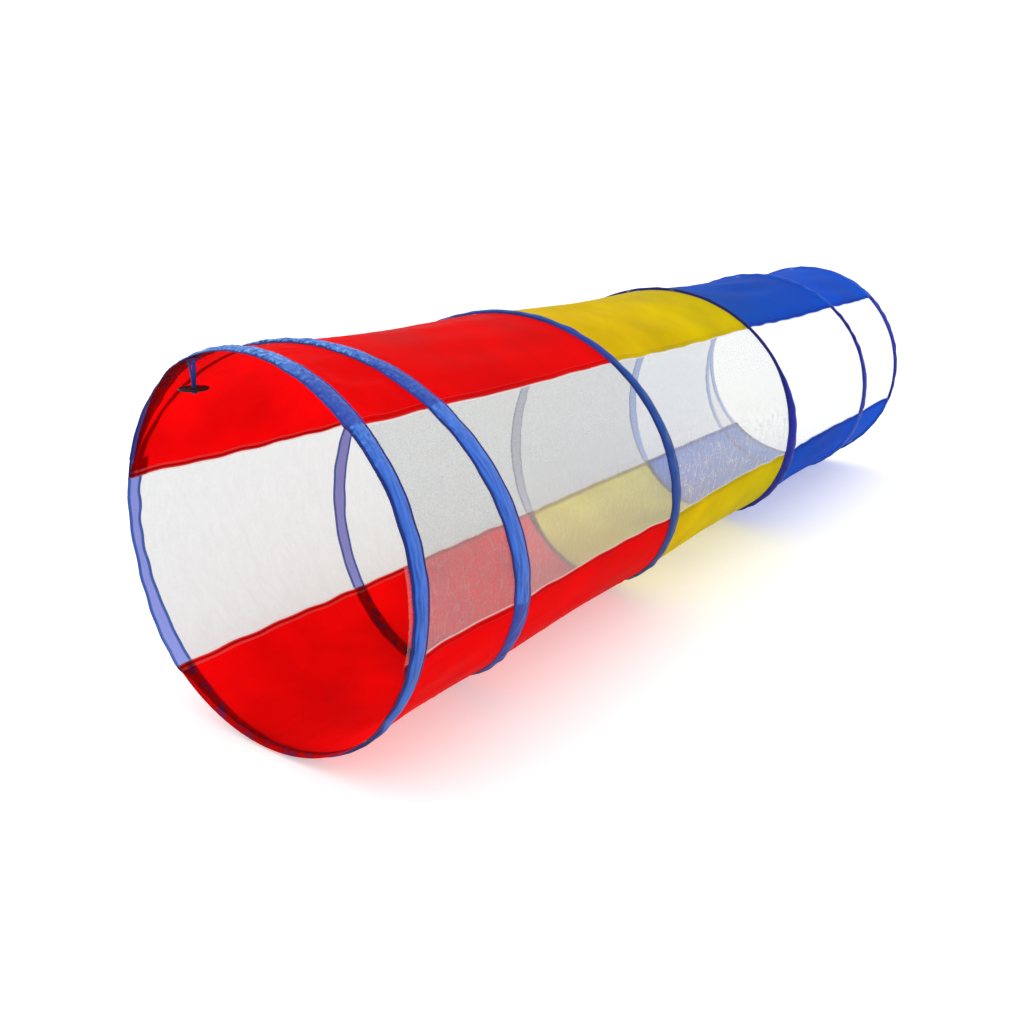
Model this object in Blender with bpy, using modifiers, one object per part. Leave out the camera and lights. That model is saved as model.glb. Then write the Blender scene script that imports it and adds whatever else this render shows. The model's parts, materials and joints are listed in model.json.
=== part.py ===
"""A kids play tunnel: a cloth tube held open by one spring-steel wire.

The tunnel lies along X, with its near mouth at -X, and stands on Z = 0.  The wire makes a loop
round the near mouth, four turns along the tube and a loop round the far mouth.  It runs in a
ribbon casing sewn on the outside of the tube.  The tube is made of strips of cloth that meet
under the casing, and each strip has a top panel, a bottom panel and two mesh windows.

A place on the tube is given by an angle, a radius and x.  The angle is 0 at the top and grows
towards the side at -Y.  Along the wire it goes on growing from turn to turn, and it is counted
from the seam where the wire leaves the near mouth, which is called the start seam.
"""

import math

import bmesh
import bpy
import numpy as np

# Overall sizes, in metres
TUNNEL_LENGTH = 1.800
CLOTH_RADIUS = 0.2375
TURNS = 4

# How far along the wire gets in each half turn, as shares of the way between its end loops
HALF_TURN_SHARES = (0.109, 0.109, 0.120, 0.159, 0.113, 0.156, 0.104, 0.130)

# Wire and casing
WIRE_RADIUS = 0.00125
CASING_WIDTH = 0.028
CASING_CLOTH = 0.0008

# Room left between any two pieces
GAP = 0.0003

# Points closer than this are one point
WELD_SHARE = 0.1
WELD_DISTANCE = WELD_SHARE * GAP

# Cloth of the tube
PANEL_CLOTH = 0.0008
MESH_CLOTH = 0.0006
PANEL_WAIST = 0.004

# Ferrule that joins a wire end to the passing wire
FERRULE_LENGTH = 0.018
FERRULE_WALL = 0.0008

# Closure loop and disc
TAB_WIDTH = 0.015
TAB_LENGTH = 0.012
TAB_OVERHANG = 0.0022
TAB_THICKNESS = 0.0012
RIBBON_THICKNESS = 0.001
RIBBON_STRAND = 0.0045
RIBBON_DROP = 0.031
RIBBON_NECK = 0.007
RIBBON_STOP_WIDTH = 0.0105
RIBBON_STOP_LENGTH = 0.004
DISC_RADIUS = 0.017
DISC_THICKNESS = 0.0024
DISC_EDGE = 0.0007

# Angles, in degrees: the windows' width, how far they are rolled up from level towards -Y,
# and the facet that the tunnel stands on
WINDOW_SPAN = 62.6
WINDOW_TILT = 16.2
FLAT_SPAN = 9.28

# The junction, where a wire end lies beside the passing wire: its length as a share of the
# ferrule's, the free end of the wire in it, and the stretch that brings the two together
JUNCTION_SHARE = 1.4
FREE_END_SHARE = 0.25
SHIFT_SHARE = 4.0

# Shape of a casing's ridge: its width where the casing is narrow, and the height of its flanks
RIDGE_SHARE = 0.8
FLANK_SHARE = 0.35

# Facets along each stretch of one turn
TOP_FACETS = 12
WINDOW_FACETS = 7
BOTTOM_FACETS_BEFORE_FLAT = 8
BOTTOM_FACETS_AFTER_FLAT = 4
STRIP_FACETS = 3
LOOP_FACET = 5

# Sides of the small round shapes, and the angle from which an edge is shaded sharp
CHANNEL_SIDES = 8
BORE_SIDES = 12
FERRULE_END_SIDES = 6
DISC_SIDES = 32
DISC_EDGE_STEPS = 2
SHARP_ANGLE = 30.0

FULL_TURN = 360.0
HALF_TURN = FULL_TURN / 2
RIGHT_ANGLE = FULL_TURN / 4

# Angles that follow, counted from the start seam
JUNCTION_SPAN = math.degrees(JUNCTION_SHARE * FERRULE_LENGTH / CLOTH_RADIUS)
FREE_END_SPAN = FREE_END_SHARE * JUNCTION_SPAN
SHIFT_SPAN = SHIFT_SHARE * JUNCTION_SPAN
PANEL_SPAN = HALF_TURN - WINDOW_SPAN
START_ANGLE = -(PANEL_SPAN / 2 + WINDOW_TILT)
TOP_END = PANEL_SPAN
NEAR_WINDOW_END = HALF_TURN
BOTTOM_END = HALF_TURN + PANEL_SPAN
UNDERSIDE = HALF_TURN - START_ANGLE
FLAT_START = UNDERSIDE - FLAT_SPAN / 2
FLAT_END = UNDERSIDE + FLAT_SPAN / 2

# Radii and lengths that follow
CASING_BASE = CLOTH_RADIUS + GAP
CHANNEL_RADIUS = (WIRE_RADIUS + GAP) / math.cos(math.pi / CHANNEL_SIDES)
WIRE_SPACING = 2 * (CHANNEL_RADIUS + CASING_CLOTH) + GAP
FERRULE_HALF_HEIGHT = WIRE_RADIUS + GAP + FERRULE_WALL
WIRE_CENTRE = CASING_BASE + FERRULE_HALF_HEIGHT
CASING_TOP = WIRE_CENTRE + CHANNEL_RADIUS + CASING_CLOTH
CASING_EDGE = CASING_BASE + 2 * CASING_CLOTH
PATCH_CEILING = WIRE_CENTRE + FERRULE_HALF_HEIGHT + GAP
PATCH_TOP = PATCH_CEILING + CASING_CLOTH
AXIS_HEIGHT = CASING_TOP * math.cos(math.radians(FLAT_SPAN / 2))

# Places along the tunnel that follow, with the disc in front of the near mouth counted in
LOOP_AHEAD = GAP + RIBBON_THICKNESS / 2
NEAR_MOUTH = (LOOP_AHEAD + DISC_RADIUS - TUNNEL_LENGTH) / 2
FAR_MOUTH = NEAR_MOUTH + TUNNEL_LENGTH
NEAR_LOOP = NEAR_MOUTH + CASING_WIDTH / 2
FAR_LOOP = FAR_MOUTH - CASING_WIDTH / 2
WIRE_END = TURNS * FULL_TURN

# Colours and finishes: red, green, blue, then roughness and metallic
FINISHES = {
    "red_cloth": ((0.80, 0.005, 0.005), 0.55, 0.0),
    "yellow_cloth": ((0.68, 0.52, 0.0), 0.55, 0.0),
    "blue_cloth": ((0.01, 0.08, 0.58), 0.55, 0.0),
    "white_mesh": ((0.80, 0.82, 0.84), 0.8, 0.0),
    "blue_ribbon": ((0.03, 0.13, 0.72), 0.5, 0.0),
    "spring_steel": ((0.45, 0.46, 0.48), 0.35, 1.0),
    "black_disc": ((0.01, 0.01, 0.01), 0.45, 0.0),
}
STRIP_CLOTHS = ("red_cloth", "red_cloth", "yellow_cloth", "blue_cloth", "blue_cloth")


def clear_scene():
    """Start from an empty scene."""
    for thing in list(bpy.data.objects):
        bpy.data.objects.remove(thing, do_unlink=True)


def collection(name):
    """Return a collection of the scene, made on first use."""
    found = bpy.data.collections.get(name)
    if found is None:
        found = bpy.data.collections.new(name)
        bpy.context.scene.collection.children.link(found)
    return found


def finish(name):
    """Return the named finish as a Principled material."""
    material = bpy.data.materials.get(name)
    if material is None:
        colour, roughness, metallic = FINISHES[name]
        material = bpy.data.materials.new(name)
        material.use_nodes = True
        shader = material.node_tree.nodes["Principled BSDF"]
        shader.inputs["Base Color"].default_value = (*colour, 1.0)
        shader.inputs["Roughness"].default_value = roughness
        shader.inputs["Metallic"].default_value = metallic
        material.diffuse_color = (*colour, 1.0)
    return material


def add_part(name, data, material, smooth=True):
    """Make a named part from mesh or curve data."""
    thing = bpy.data.objects.new(name, data)
    collection("kids_play_tunnel").objects.link(thing)
    data.materials.append(finish(material))
    if smooth and thing.type == "MESH":
        data.shade_smooth()
        data.set_sharp_from_angle(angle=math.radians(SHARP_ANGLE))
    return thing


def smooth_through(at, places, values):
    """Read a smooth curve that passes through the given values.

    Between two places it is the cubic whose slope at each place is that of the line between
    its neighbours there.
    """
    places = np.asarray(places, float)
    values = np.asarray(values, float)
    slopes = np.gradient(values, places)
    left = np.clip(np.searchsorted(places, at, side="right") - 1, 0, len(places) - 2)
    width = places[left + 1] - places[left]
    share = (at - places[left]) / width
    rise = values[left + 1] - values[left]
    start_pull = slopes[left] * width - rise
    end_pull = rise - slopes[left + 1] * width
    bend = share * (1 - share) * (start_pull * (1 - share) + end_pull * share)
    return values[left] + share * rise + bend


def loop_shift(turned):
    """The sideways step, from 0 to 1, that brings an end loop beside the wire's own end."""
    share = np.clip(turned / SHIFT_SPAN, 0, 1)
    return share * share * (3 - 2 * share)


def wire_x(angle):
    """Where the wire's centre is along the tunnel, at an angle from the start seam.

    Below 0 is the near loop and past the last turn is the far loop.  Between them the wire
    passes the places that the half-turn shares give.
    """
    angle = np.asarray(angle, float)
    counts = np.arange(2 * TURNS + 1)
    places = counts * HALF_TURN
    places[0] = JUNCTION_SPAN
    places[-1] = WIRE_END - JUNCTION_SPAN
    along = np.cumsum((0, *HALF_TURN_SHARES)) / sum(HALF_TURN_SHARES)
    values = NEAR_LOOP + along * (FAR_LOOP - NEAR_LOOP)
    values[0] = NEAR_LOOP + WIRE_SPACING
    values[-1] = FAR_LOOP - WIRE_SPACING
    helix = smooth_through(np.clip(angle, places[0], places[-1]), places, values)
    near = NEAR_LOOP + WIRE_SPACING * loop_shift(angle + SHIFT_SPAN)
    far = FAR_LOOP - WIRE_SPACING * loop_shift(WIRE_END + SHIFT_SPAN - angle)
    return np.where(angle < places[0], near, np.where(angle > places[-1], far, helix))


def tube_point(x, radius, angle):
    """The point of the tunnel at x, a radius from its axis and an angle from the start seam."""
    turned = np.radians(np.asarray(angle, float) + START_ANGLE)
    x, radius, turned = np.broadcast_arrays(x, radius, turned)
    y = -radius * np.sin(turned)
    z = AXIS_HEIGHT + radius * np.cos(turned)
    return np.stack([x, y, z], axis=-1)


def turn_stations():
    """The angles, over one turn, where every piece has its corners.

    They are spaced evenly between the seams, with one flat facet centred under the tunnel.
    """
    stretches = (
        (0, JUNCTION_SPAN, 1),
        (JUNCTION_SPAN, TOP_END, TOP_FACETS),
        (TOP_END, NEAR_WINDOW_END, WINDOW_FACETS),
        (NEAR_WINDOW_END, FLAT_START, BOTTOM_FACETS_BEFORE_FLAT),
        (FLAT_START, FLAT_END, 1),
        (FLAT_END, BOTTOM_END, BOTTOM_FACETS_AFTER_FLAT),
        (BOTTOM_END, FULL_TURN - JUNCTION_SPAN, WINDOW_FACETS - 1),
        (FULL_TURN - JUNCTION_SPAN, FULL_TURN, 1),
    )
    runs = [np.linspace(start, end, count + 1)[:-1] for start, end, count in stretches]
    return np.concatenate(runs)


def stations_between(start, end, inset=0.0):
    """The stations from one angle to another, with both ends drawn in by an inset angle."""
    first = math.floor(start / FULL_TURN)
    last = math.ceil(end / FULL_TURN)
    every = [turn_stations() + FULL_TURN * turn for turn in range(first, last + 1)]
    every = np.concatenate(every)
    least = inset + FREE_END_SPAN
    inner = every[(every > start + least) & (every < end - least)]
    return np.concatenate([[start + inset], inner, [end - inset]])


def gap_angle(radius):
    """The angle that half a gap takes up at a radius."""
    return math.degrees(GAP / 2 / radius)


def loft(name, rings, caps, material):
    """Make a closed body from a row of like rings of points.

    The joins are pairs of corners, side by side in a ring, that carry a face to the next ring.
    The faces close both ends, and each lists corners of a ring.
    """
    points = rings.reshape(-1, 3)
    count = rings.shape[1]
    shape = bmesh.new()
    corners = [shape.verts.new(point) for point in points]
    joins = caps["joins"]
    for row in range(len(rings) - 1):
        here = row * count
        there = here + count
        for start, end in joins:
            shape.faces.new(
                [
                    corners[here + start],
                    corners[here + end],
                    corners[there + end],
                    corners[there + start],
                ]
            )
    last = (len(rings) - 1) * count
    for cap in caps["faces"]:
        shape.faces.new([corners[corner] for corner in cap])
        shape.faces.new([corners[last + corner] for corner in reversed(cap)])
    bmesh.ops.recalc_face_normals(shape, faces=shape.faces)
    mesh = bpy.data.meshes.new(name)
    shape.to_mesh(mesh)
    shape.free()
    return add_part(name, mesh, material)


def channelled_caps():
    """The joins and end faces of a section whose outline comes first and then its channel."""
    sides = range(CHANNEL_SIDES)
    after = [(side + 1) % CHANNEL_SIDES for side in sides]
    outer = [(side, after[side]) for side in sides]
    inner = [(CHANNEL_SIDES + after[side], CHANNEL_SIDES + side) for side in sides]
    faces = [
        (side, after[side], CHANNEL_SIDES + after[side], CHANNEL_SIDES + side) for side in sides
    ]
    return {"joins": outer + inner, "faces": faces}


def casing_rings(angles, left, right):
    """The rings of a casing along the wire.

    The outline is flat against the cloth, two cloths thick at its edges, and swells to a ridge
    over the wire.  Left and right are its half widths at each angle, measured from the wire.
    """
    ridge = CHANNEL_RADIUS + CASING_CLOTH
    left_ridge = np.minimum(ridge, RIDGE_SHARE * left)
    right_ridge = np.minimum(ridge, RIDGE_SHARE * right)
    low = np.full_like(angles, CASING_BASE)
    edge = np.full_like(angles, CASING_EDGE)
    flank = np.full_like(angles, CASING_EDGE + FLANK_SHARE * (CASING_TOP - CASING_EDGE))
    top = np.full_like(angles, CASING_TOP)
    outline = [
        (-left, low),
        (right, low),
        (right, edge),
        ((right + right_ridge) / 2, flank),
        (right_ridge, top),
        (-left_ridge, top),
        (-(left + left_ridge) / 2, flank),
        (-left, edge),
    ]
    corner = np.arange(CHANNEL_SIDES) * (FULL_TURN / CHANNEL_SIDES)
    turned = np.radians(corner - (RIGHT_ANGLE + FULL_TURN / CHANNEL_SIDES / 2))
    rows = (len(angles), CHANNEL_SIDES)
    channel_across = np.broadcast_to(CHANNEL_RADIUS * np.cos(turned), rows)
    channel_radius = np.broadcast_to(WIRE_CENTRE + CHANNEL_RADIUS * np.sin(turned), rows)
    outline_across, outline_radius = np.array(outline).transpose(1, 2, 0)
    across = np.concatenate([outline_across, channel_across], axis=1)
    radius = np.concatenate([outline_radius, channel_radius], axis=1)
    x = wire_x(angles)[:, None] + across
    return tube_point(x, radius, angles[:, None])


def mitre(angles, other):
    """Half the room between the wire and the wire one turn away, less half a gap."""
    room = np.abs(wire_x(angles + other) - wire_x(angles)) / 2 - GAP / 2
    return np.minimum(CASING_WIDTH / 2, room)


def build_casing(name, start, end):
    """Make the casing over the wire between two angles.

    At a mouth its outer edge is flush with the mouth.  Where two turns run side by side, each
    casing stops at the line halfway between them.
    """
    angles = stations_between(start, end, gap_angle(CASING_BASE))
    centre = wire_x(angles)
    if start < 0:
        left = centre - NEAR_MOUTH
    else:
        left = mitre(angles, -FULL_TURN)
    if end > WIRE_END:
        right = FAR_MOUTH - centre
    else:
        right = mitre(angles, FULL_TURN)
    return loft(name, casing_rings(angles, left, right), channelled_caps(), "blue_ribbon")


def build_patch(name, start, left_wire, right_wire):
    """Make the folded patch that covers a ferrule: a strip with a groove along its underside."""
    angles = stations_between(start, start + JUNCTION_SPAN, gap_angle(CASING_BASE))
    left = left_wire - CASING_WIDTH / 2
    right = right_wire + CASING_WIDTH / 2
    groove_left = left_wire - FERRULE_HALF_HEIGHT - GAP
    groove_right = right_wire + FERRULE_HALF_HEIGHT + GAP
    section = (
        (left, CASING_BASE),
        (groove_left, CASING_BASE),
        (groove_left, PATCH_CEILING),
        (groove_right, PATCH_CEILING),
        (groove_right, CASING_BASE),
        (right, CASING_BASE),
        (right, CASING_EDGE),
        (groove_right + CASING_CLOTH, PATCH_TOP),
        (groove_left - CASING_CLOTH, PATCH_TOP),
        (left, CASING_EDGE),
    )
    x = np.array([place for place, _ in section])[None, :]
    radius = np.array([height for _, height in section])[None, :]
    sides = len(section)
    caps = {
        "joins": [(side, (side + 1) % sides) for side in range(sides)],
        "faces": [tuple(range(sides))],
    }
    return loft(name, tube_point(x, radius, angles[:, None]), caps, "blue_ribbon")


def build_wire():
    """Make the spring wire as one tube, with a corner at each station."""
    angles = stations_between(-FULL_TURN, WIRE_END + FULL_TURN)
    angles[0] += FREE_END_SPAN
    angles[-1] -= FREE_END_SPAN
    centres = tube_point(wire_x(angles), WIRE_CENTRE, angles)
    curve = bpy.data.curves.new("spring_wire", "CURVE")
    curve.dimensions = "3D"
    curve.bevel_depth = WIRE_RADIUS
    curve.bevel_resolution = 1
    curve.use_fill_caps = True
    spline = curve.splines.new("POLY")
    spline.points.add(len(centres) - 1)
    spline.points.foreach_set("co", np.c_[centres, np.ones(len(centres))].ravel())
    print_wire_gap(angles)
    return add_part("spring_wire", curve, "spring_steel")


def print_wire_gap(angles):
    """Print the least gap between the wire and its own next turn, in millimetres."""
    last = angles[-1] - FULL_TURN
    here = np.linspace(angles[0], last, TURNS * len(angles))
    apart = np.abs(wire_x(here + FULL_TURN) - wire_x(here))
    print("least gap of the wire to itself:", round(1000 * (apart.min() - 2 * WIRE_RADIUS), 3), "mm")


def build_ferrule(name, start, left_wire, right_wire):
    """Make a ferrule: a flat-sided steel block with two bores, lying along the wires."""
    curve = bpy.data.curves.new(name, "CURVE")
    curve.dimensions = "2D"
    curve.fill_mode = "BOTH"
    curve.extrude = FERRULE_LENGTH / 2
    half = (right_wire - left_wire) / 2
    add_loop(curve, stadium(half, FERRULE_HALF_HEIGHT))
    bore = circle_round(WIRE_RADIUS + GAP)
    add_loop(curve, bore + (half, 0))
    add_loop(curve, bore - (half, 0))
    block = bpy.data.objects.new(name, curve)
    ends = tube_point((left_wire + right_wire) / 2, WIRE_CENTRE, np.array([start, start + JUNCTION_SPAN]))
    block.location = ends.mean(axis=0)
    lean = math.radians(start + JUNCTION_SPAN / 2 + START_ANGLE)
    block.rotation_euler = (lean + math.pi / 2, 0, 0)
    return bake_curve(block, "spring_steel")


def circle_round(radius):
    """Corners of a bore whose flat sides touch a circle of the given radius."""
    turned = 2 * np.pi * np.arange(BORE_SIDES) / BORE_SIDES
    corner_radius = radius / math.cos(math.pi / BORE_SIDES)
    return corner_radius * np.stack([np.cos(turned), np.sin(turned)], axis=1)


def stadium(half, radius):
    """Corners of two half circles, centred half to each side, joined by straight lines."""
    turned = np.pi * np.arange(FERRULE_END_SIDES + 1) / FERRULE_END_SIDES - np.pi / 2
    end = radius * np.stack([np.cos(turned), np.sin(turned)], axis=1)
    return np.concatenate([end + (half, 0), -end - (half, 0)])


def add_loop(curve, points):
    """Add a closed run of straight lines to a flat curve."""
    spline = curve.splines.new("POLY")
    spline.points.add(len(points) - 1)
    flat = np.zeros((len(points), 4))
    flat[:, :2] = points
    spline.points.foreach_set("co", flat.ravel())
    spline.use_cyclic_u = True


def bake_curve(thing, material):
    """Turn a curve object into a part of welded mesh that stands in the same place."""
    collection("kids_play_tunnel").objects.link(thing)
    bpy.context.view_layer.update()
    seen = thing.evaluated_get(bpy.context.evaluated_depsgraph_get())
    mesh = bpy.data.meshes.new_from_object(seen)
    shape = bmesh.new()
    shape.from_mesh(mesh)
    bmesh.ops.remove_doubles(shape, verts=shape.verts, dist=WELD_DISTANCE)
    bmesh.ops.recalc_face_normals(shape, faces=shape.faces)
    shape.to_mesh(mesh)
    shape.free()
    mesh.materials.clear()
    name = thing.name
    place = thing.matrix_world.copy()
    bpy.data.objects.remove(thing, do_unlink=True)
    part = add_part(name, mesh, material)
    part.name = name
    part.matrix_world = place
    return part


def strip_edges(strip, angles):
    """The x of both edges of a strip of cloth, at angles from the start seam.

    A strip lies between two turns of the wire, or between a mouth and the turn next to it.
    """
    near = wire_x(angles + FULL_TURN * (strip - 1)) + GAP / 2
    far = wire_x(angles + FULL_TURN * strip) - GAP / 2
    if strip == 0:
        near = np.full_like(angles, NEAR_MOUTH)
    if strip == TURNS:
        far = np.full_like(angles, FAR_MOUTH)
    return near, far


def build_panel(name, strip, start, end, thickness, material):
    """Make one panel of a strip: a grid bent to the tube, then given its thickness inwards.

    Between its edges the cloth draws in towards the axis by up to the waist, in step with how
    wide the strip is there.
    """
    angles = stations_between(start, end, gap_angle(CLOTH_RADIUS))
    near, far = strip_edges(strip, angles)
    share = np.linspace(0, 1, STRIP_FACETS + 1)
    x = near[:, None] + (far - near)[:, None] * share
    widest = TUNNEL_LENGTH / TURNS
    waist = PANEL_WAIST * np.minimum(1, (far - near) / widest)[:, None]
    radius = CLOTH_RADIUS - waist * np.sin(np.pi * share)
    places = tube_point(x, radius, angles[:, None])
    shape = bmesh.new()
    bmesh.ops.create_grid(shape, x_segments=STRIP_FACETS, y_segments=len(angles) - 1, size=1)
    shape.verts.ensure_lookup_table()
    flat = np.array([corner.co[:2] for corner in shape.verts])
    column = np.rint((flat[:, 0] + 1) / 2 * STRIP_FACETS).astype(int)
    row = np.rint((flat[:, 1] + 1) / 2 * (len(angles) - 1)).astype(int)
    for corner, place in zip(shape.verts, places[row, column]):
        corner.co = place
    shape.normal_update()
    mesh = bpy.data.meshes.new(name)
    shape.to_mesh(mesh)
    shape.free()
    if faces_inwards(mesh.polygons[0]):
        mesh.flip_normals()
    part = add_part(name, mesh, material)
    wall = part.modifiers.new("cloth", "SOLIDIFY")
    wall.thickness = thickness
    wall.offset = -1
    return part


def faces_inwards(face):
    """Whether a face looks towards the tunnel's axis."""
    from_axis = face.center.copy()
    from_axis.x = 0
    from_axis.z -= AXIS_HEIGHT
    return face.normal.dot(from_axis) < 0


def build_strips():
    """Make the five strips of cloth, each of four panels."""
    for strip in range(TURNS + 1):
        label = f"strip_{strip + 1}"
        cloth = STRIP_CLOTHS[strip]
        build_panel(f"{label}_top_panel", strip, 0, TOP_END, PANEL_CLOTH, cloth)
        build_panel(
            f"{label}_near_window", strip, TOP_END, NEAR_WINDOW_END, MESH_CLOTH, "white_mesh"
        )
        build_panel(f"{label}_bottom_panel", strip, NEAR_WINDOW_END, BOTTOM_END, PANEL_CLOTH, cloth)
        build_panel(f"{label}_far_window", strip, BOTTOM_END, FULL_TURN, MESH_CLOTH, "white_mesh")


def build_casings():
    """Make the casing of each mouth, the casing of each turn, and the patches between them."""
    build_casing("near_end_casing", JUNCTION_SPAN - FULL_TURN, 0)
    for turn in range(TURNS):
        start = FULL_TURN * turn + (JUNCTION_SPAN if turn == 0 else 0)
        end = FULL_TURN * (turn + 1) - (JUNCTION_SPAN if turn == TURNS - 1 else 0)
        build_casing(f"coil_casing_{turn + 1}", start, end)
    build_casing("far_end_casing", WIRE_END, WIRE_END + FULL_TURN - JUNCTION_SPAN)
    far_start = WIRE_END - JUNCTION_SPAN
    near_pair = (NEAR_LOOP, NEAR_LOOP + WIRE_SPACING)
    far_pair = (FAR_LOOP - WIRE_SPACING, FAR_LOOP)
    build_patch("near_ferrule_cover", 0, *near_pair)
    build_patch("far_ferrule_cover", far_start, *far_pair)
    build_ferrule("near_wire_ferrule", 0, *near_pair)
    build_ferrule("far_wire_ferrule", far_start, *far_pair)


def facet_frame():
    """The facet of the near mouth that carries the loop: its middle angle and inner radius."""
    start, end = stations_between(0, TOP_END)[LOOP_FACET + 1:LOOP_FACET + 3]
    flat = math.cos(math.radians((end - start) / 2))
    return (start + end) / 2, CLOTH_RADIUS * flat - PANEL_CLOTH


def build_closure():
    """Make the stitched tab, the ribbon loop that hangs from it and the disc on the loop."""
    middle, inner = facet_frame()
    lean = math.radians(middle + START_ANGLE)
    tab_radius = inner - GAP - TAB_THICKNESS / 2
    tab_middle = NEAR_MOUTH - TAB_OVERHANG + TAB_LENGTH / 2
    build_tab(lean, tube_point(tab_middle, tab_radius, middle))
    under = tab_radius - TAB_THICKNESS / 2 - GAP - RIBBON_THICKNESS / 2
    pivot = tube_point(NEAR_MOUTH - LOOP_AHEAD, under, middle)
    holder = bpy.data.objects.new("closure_pivot", None)
    collection("kids_play_tunnel").objects.link(holder)
    holder.location = pivot
    ribbon = build_ribbon(lean)
    disc = build_disc()
    disc.location = (0, 0, -RIBBON_DROP)
    for piece in (ribbon, disc):
        piece.parent = holder
    print("closure pivot:", np.round(pivot, 5), "lean in degrees:", round(math.degrees(lean), 3))


def build_tab(lean, place):
    """Make the tab: a thin block that lies against the inside of its facet."""
    shape = bmesh.new()
    bmesh.ops.create_cube(shape, size=1)
    bmesh.ops.scale(shape, vec=(TAB_LENGTH, TAB_WIDTH, TAB_THICKNESS), verts=shape.verts)
    mesh = bpy.data.meshes.new("closure_tab")
    shape.to_mesh(mesh)
    shape.free()
    tab = add_part("closure_tab", mesh, "blue_ribbon", smooth=False)
    tab.location = place
    tab.rotation_euler = (lean, 0, 0)
    return tab


def build_ribbon(lean):
    """Make the loop: two strands that leave the tab and meet in the neck that carries the disc.

    The outline is drawn in the plane across the tunnel, sideways and down from the pivot.  Its
    top edge follows the tab, which leans with its facet.
    """
    half_top = TAB_WIDTH / 2
    half_neck = RIBBON_NECK / 2
    half_stop = RIBBON_STOP_WIDTH / 2
    disc_top = -RIBBON_DROP + DISC_THICKNESS / 2 + GAP
    disc_under = -RIBBON_DROP - DISC_THICKNESS / 2 - GAP
    shoulder = disc_top + RIBBON_NECK
    drop = math.tan(lean)
    outer = np.array(
        [
            (-half_top, -half_top * drop),
            (half_top, half_top * drop),
            (half_neck, shoulder),
            (half_neck, disc_under),
            (half_stop, disc_under),
            (half_stop, disc_under - RIBBON_STOP_LENGTH),
            (-half_stop, disc_under - RIBBON_STOP_LENGTH),
            (-half_stop, disc_under),
            (-half_neck, disc_under),
            (-half_neck, shoulder),
        ]
    )
    inner_half = half_top - RIBBON_STRAND
    inner_top = -RIBBON_THICKNESS - half_top * abs(drop)
    inner = np.array([(-inner_half, inner_top), (0, shoulder), (inner_half, inner_top)])
    curve = bpy.data.curves.new("closure_loop", "CURVE")
    curve.dimensions = "2D"
    curve.fill_mode = "BOTH"
    curve.extrude = RIBBON_THICKNESS / 2
    add_loop(curve, outer)
    add_loop(curve, inner)
    loop = bpy.data.objects.new("closure_loop", curve)
    loop.rotation_euler = (math.pi / 2, 0, math.pi / 2)
    return bake_curve(loop, "blue_ribbon")


def build_disc():
    """Make the flat disc, with a slot that the neck of the loop passes through."""
    shape = bmesh.new()
    bmesh.ops.create_cone(
        shape,
        cap_ends=True,
        segments=DISC_SIDES,
        radius1=DISC_RADIUS,
        radius2=DISC_RADIUS,
        depth=DISC_THICKNESS,
    )
    mesh = bpy.data.meshes.new("closure_disc")
    shape.to_mesh(mesh)
    shape.free()
    disc = add_part("closure_disc", mesh, "black_disc")
    slot = bpy.data.meshes.new("disc_slot")
    shape = bmesh.new()
    bmesh.ops.create_cube(shape, size=1)
    sides = (RIBBON_THICKNESS + 2 * GAP, RIBBON_NECK + 2 * GAP, 2 * DISC_THICKNESS)
    bmesh.ops.scale(shape, vec=sides, verts=shape.verts)
    shape.to_mesh(slot)
    shape.free()
    cutter = bpy.data.objects.new("disc_slot", slot)
    collection("cutters").objects.link(cutter)
    cutter.hide_render = True
    cutter.display_type = "WIRE"
    cutter.parent = disc
    rim = disc.modifiers.new("rim", "BEVEL")
    rim.width = DISC_EDGE
    rim.segments = DISC_EDGE_STEPS
    rim.limit_method = "ANGLE"
    cut = disc.modifiers.new("slot", "BOOLEAN")
    cut.operation = "DIFFERENCE"
    cut.object = cutter
    return disc


def main():
    clear_scene()
    build_wire()
    build_casings()
    build_strips()
    build_closure()


main()
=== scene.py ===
"""The looks of a kids play tunnel: cloth, mesh, casings, wire, closure and stage.

The tunnel lies along X with its near mouth at -X.  A place on the tube is given by x, a radius
and an angle.  The angle is counted in degrees from the start seam, where the wire leaves the
near mouth, and grows over the top towards the side at -Y.  Along the wire it goes on growing
from turn to turn.
"""

import json
import math

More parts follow.
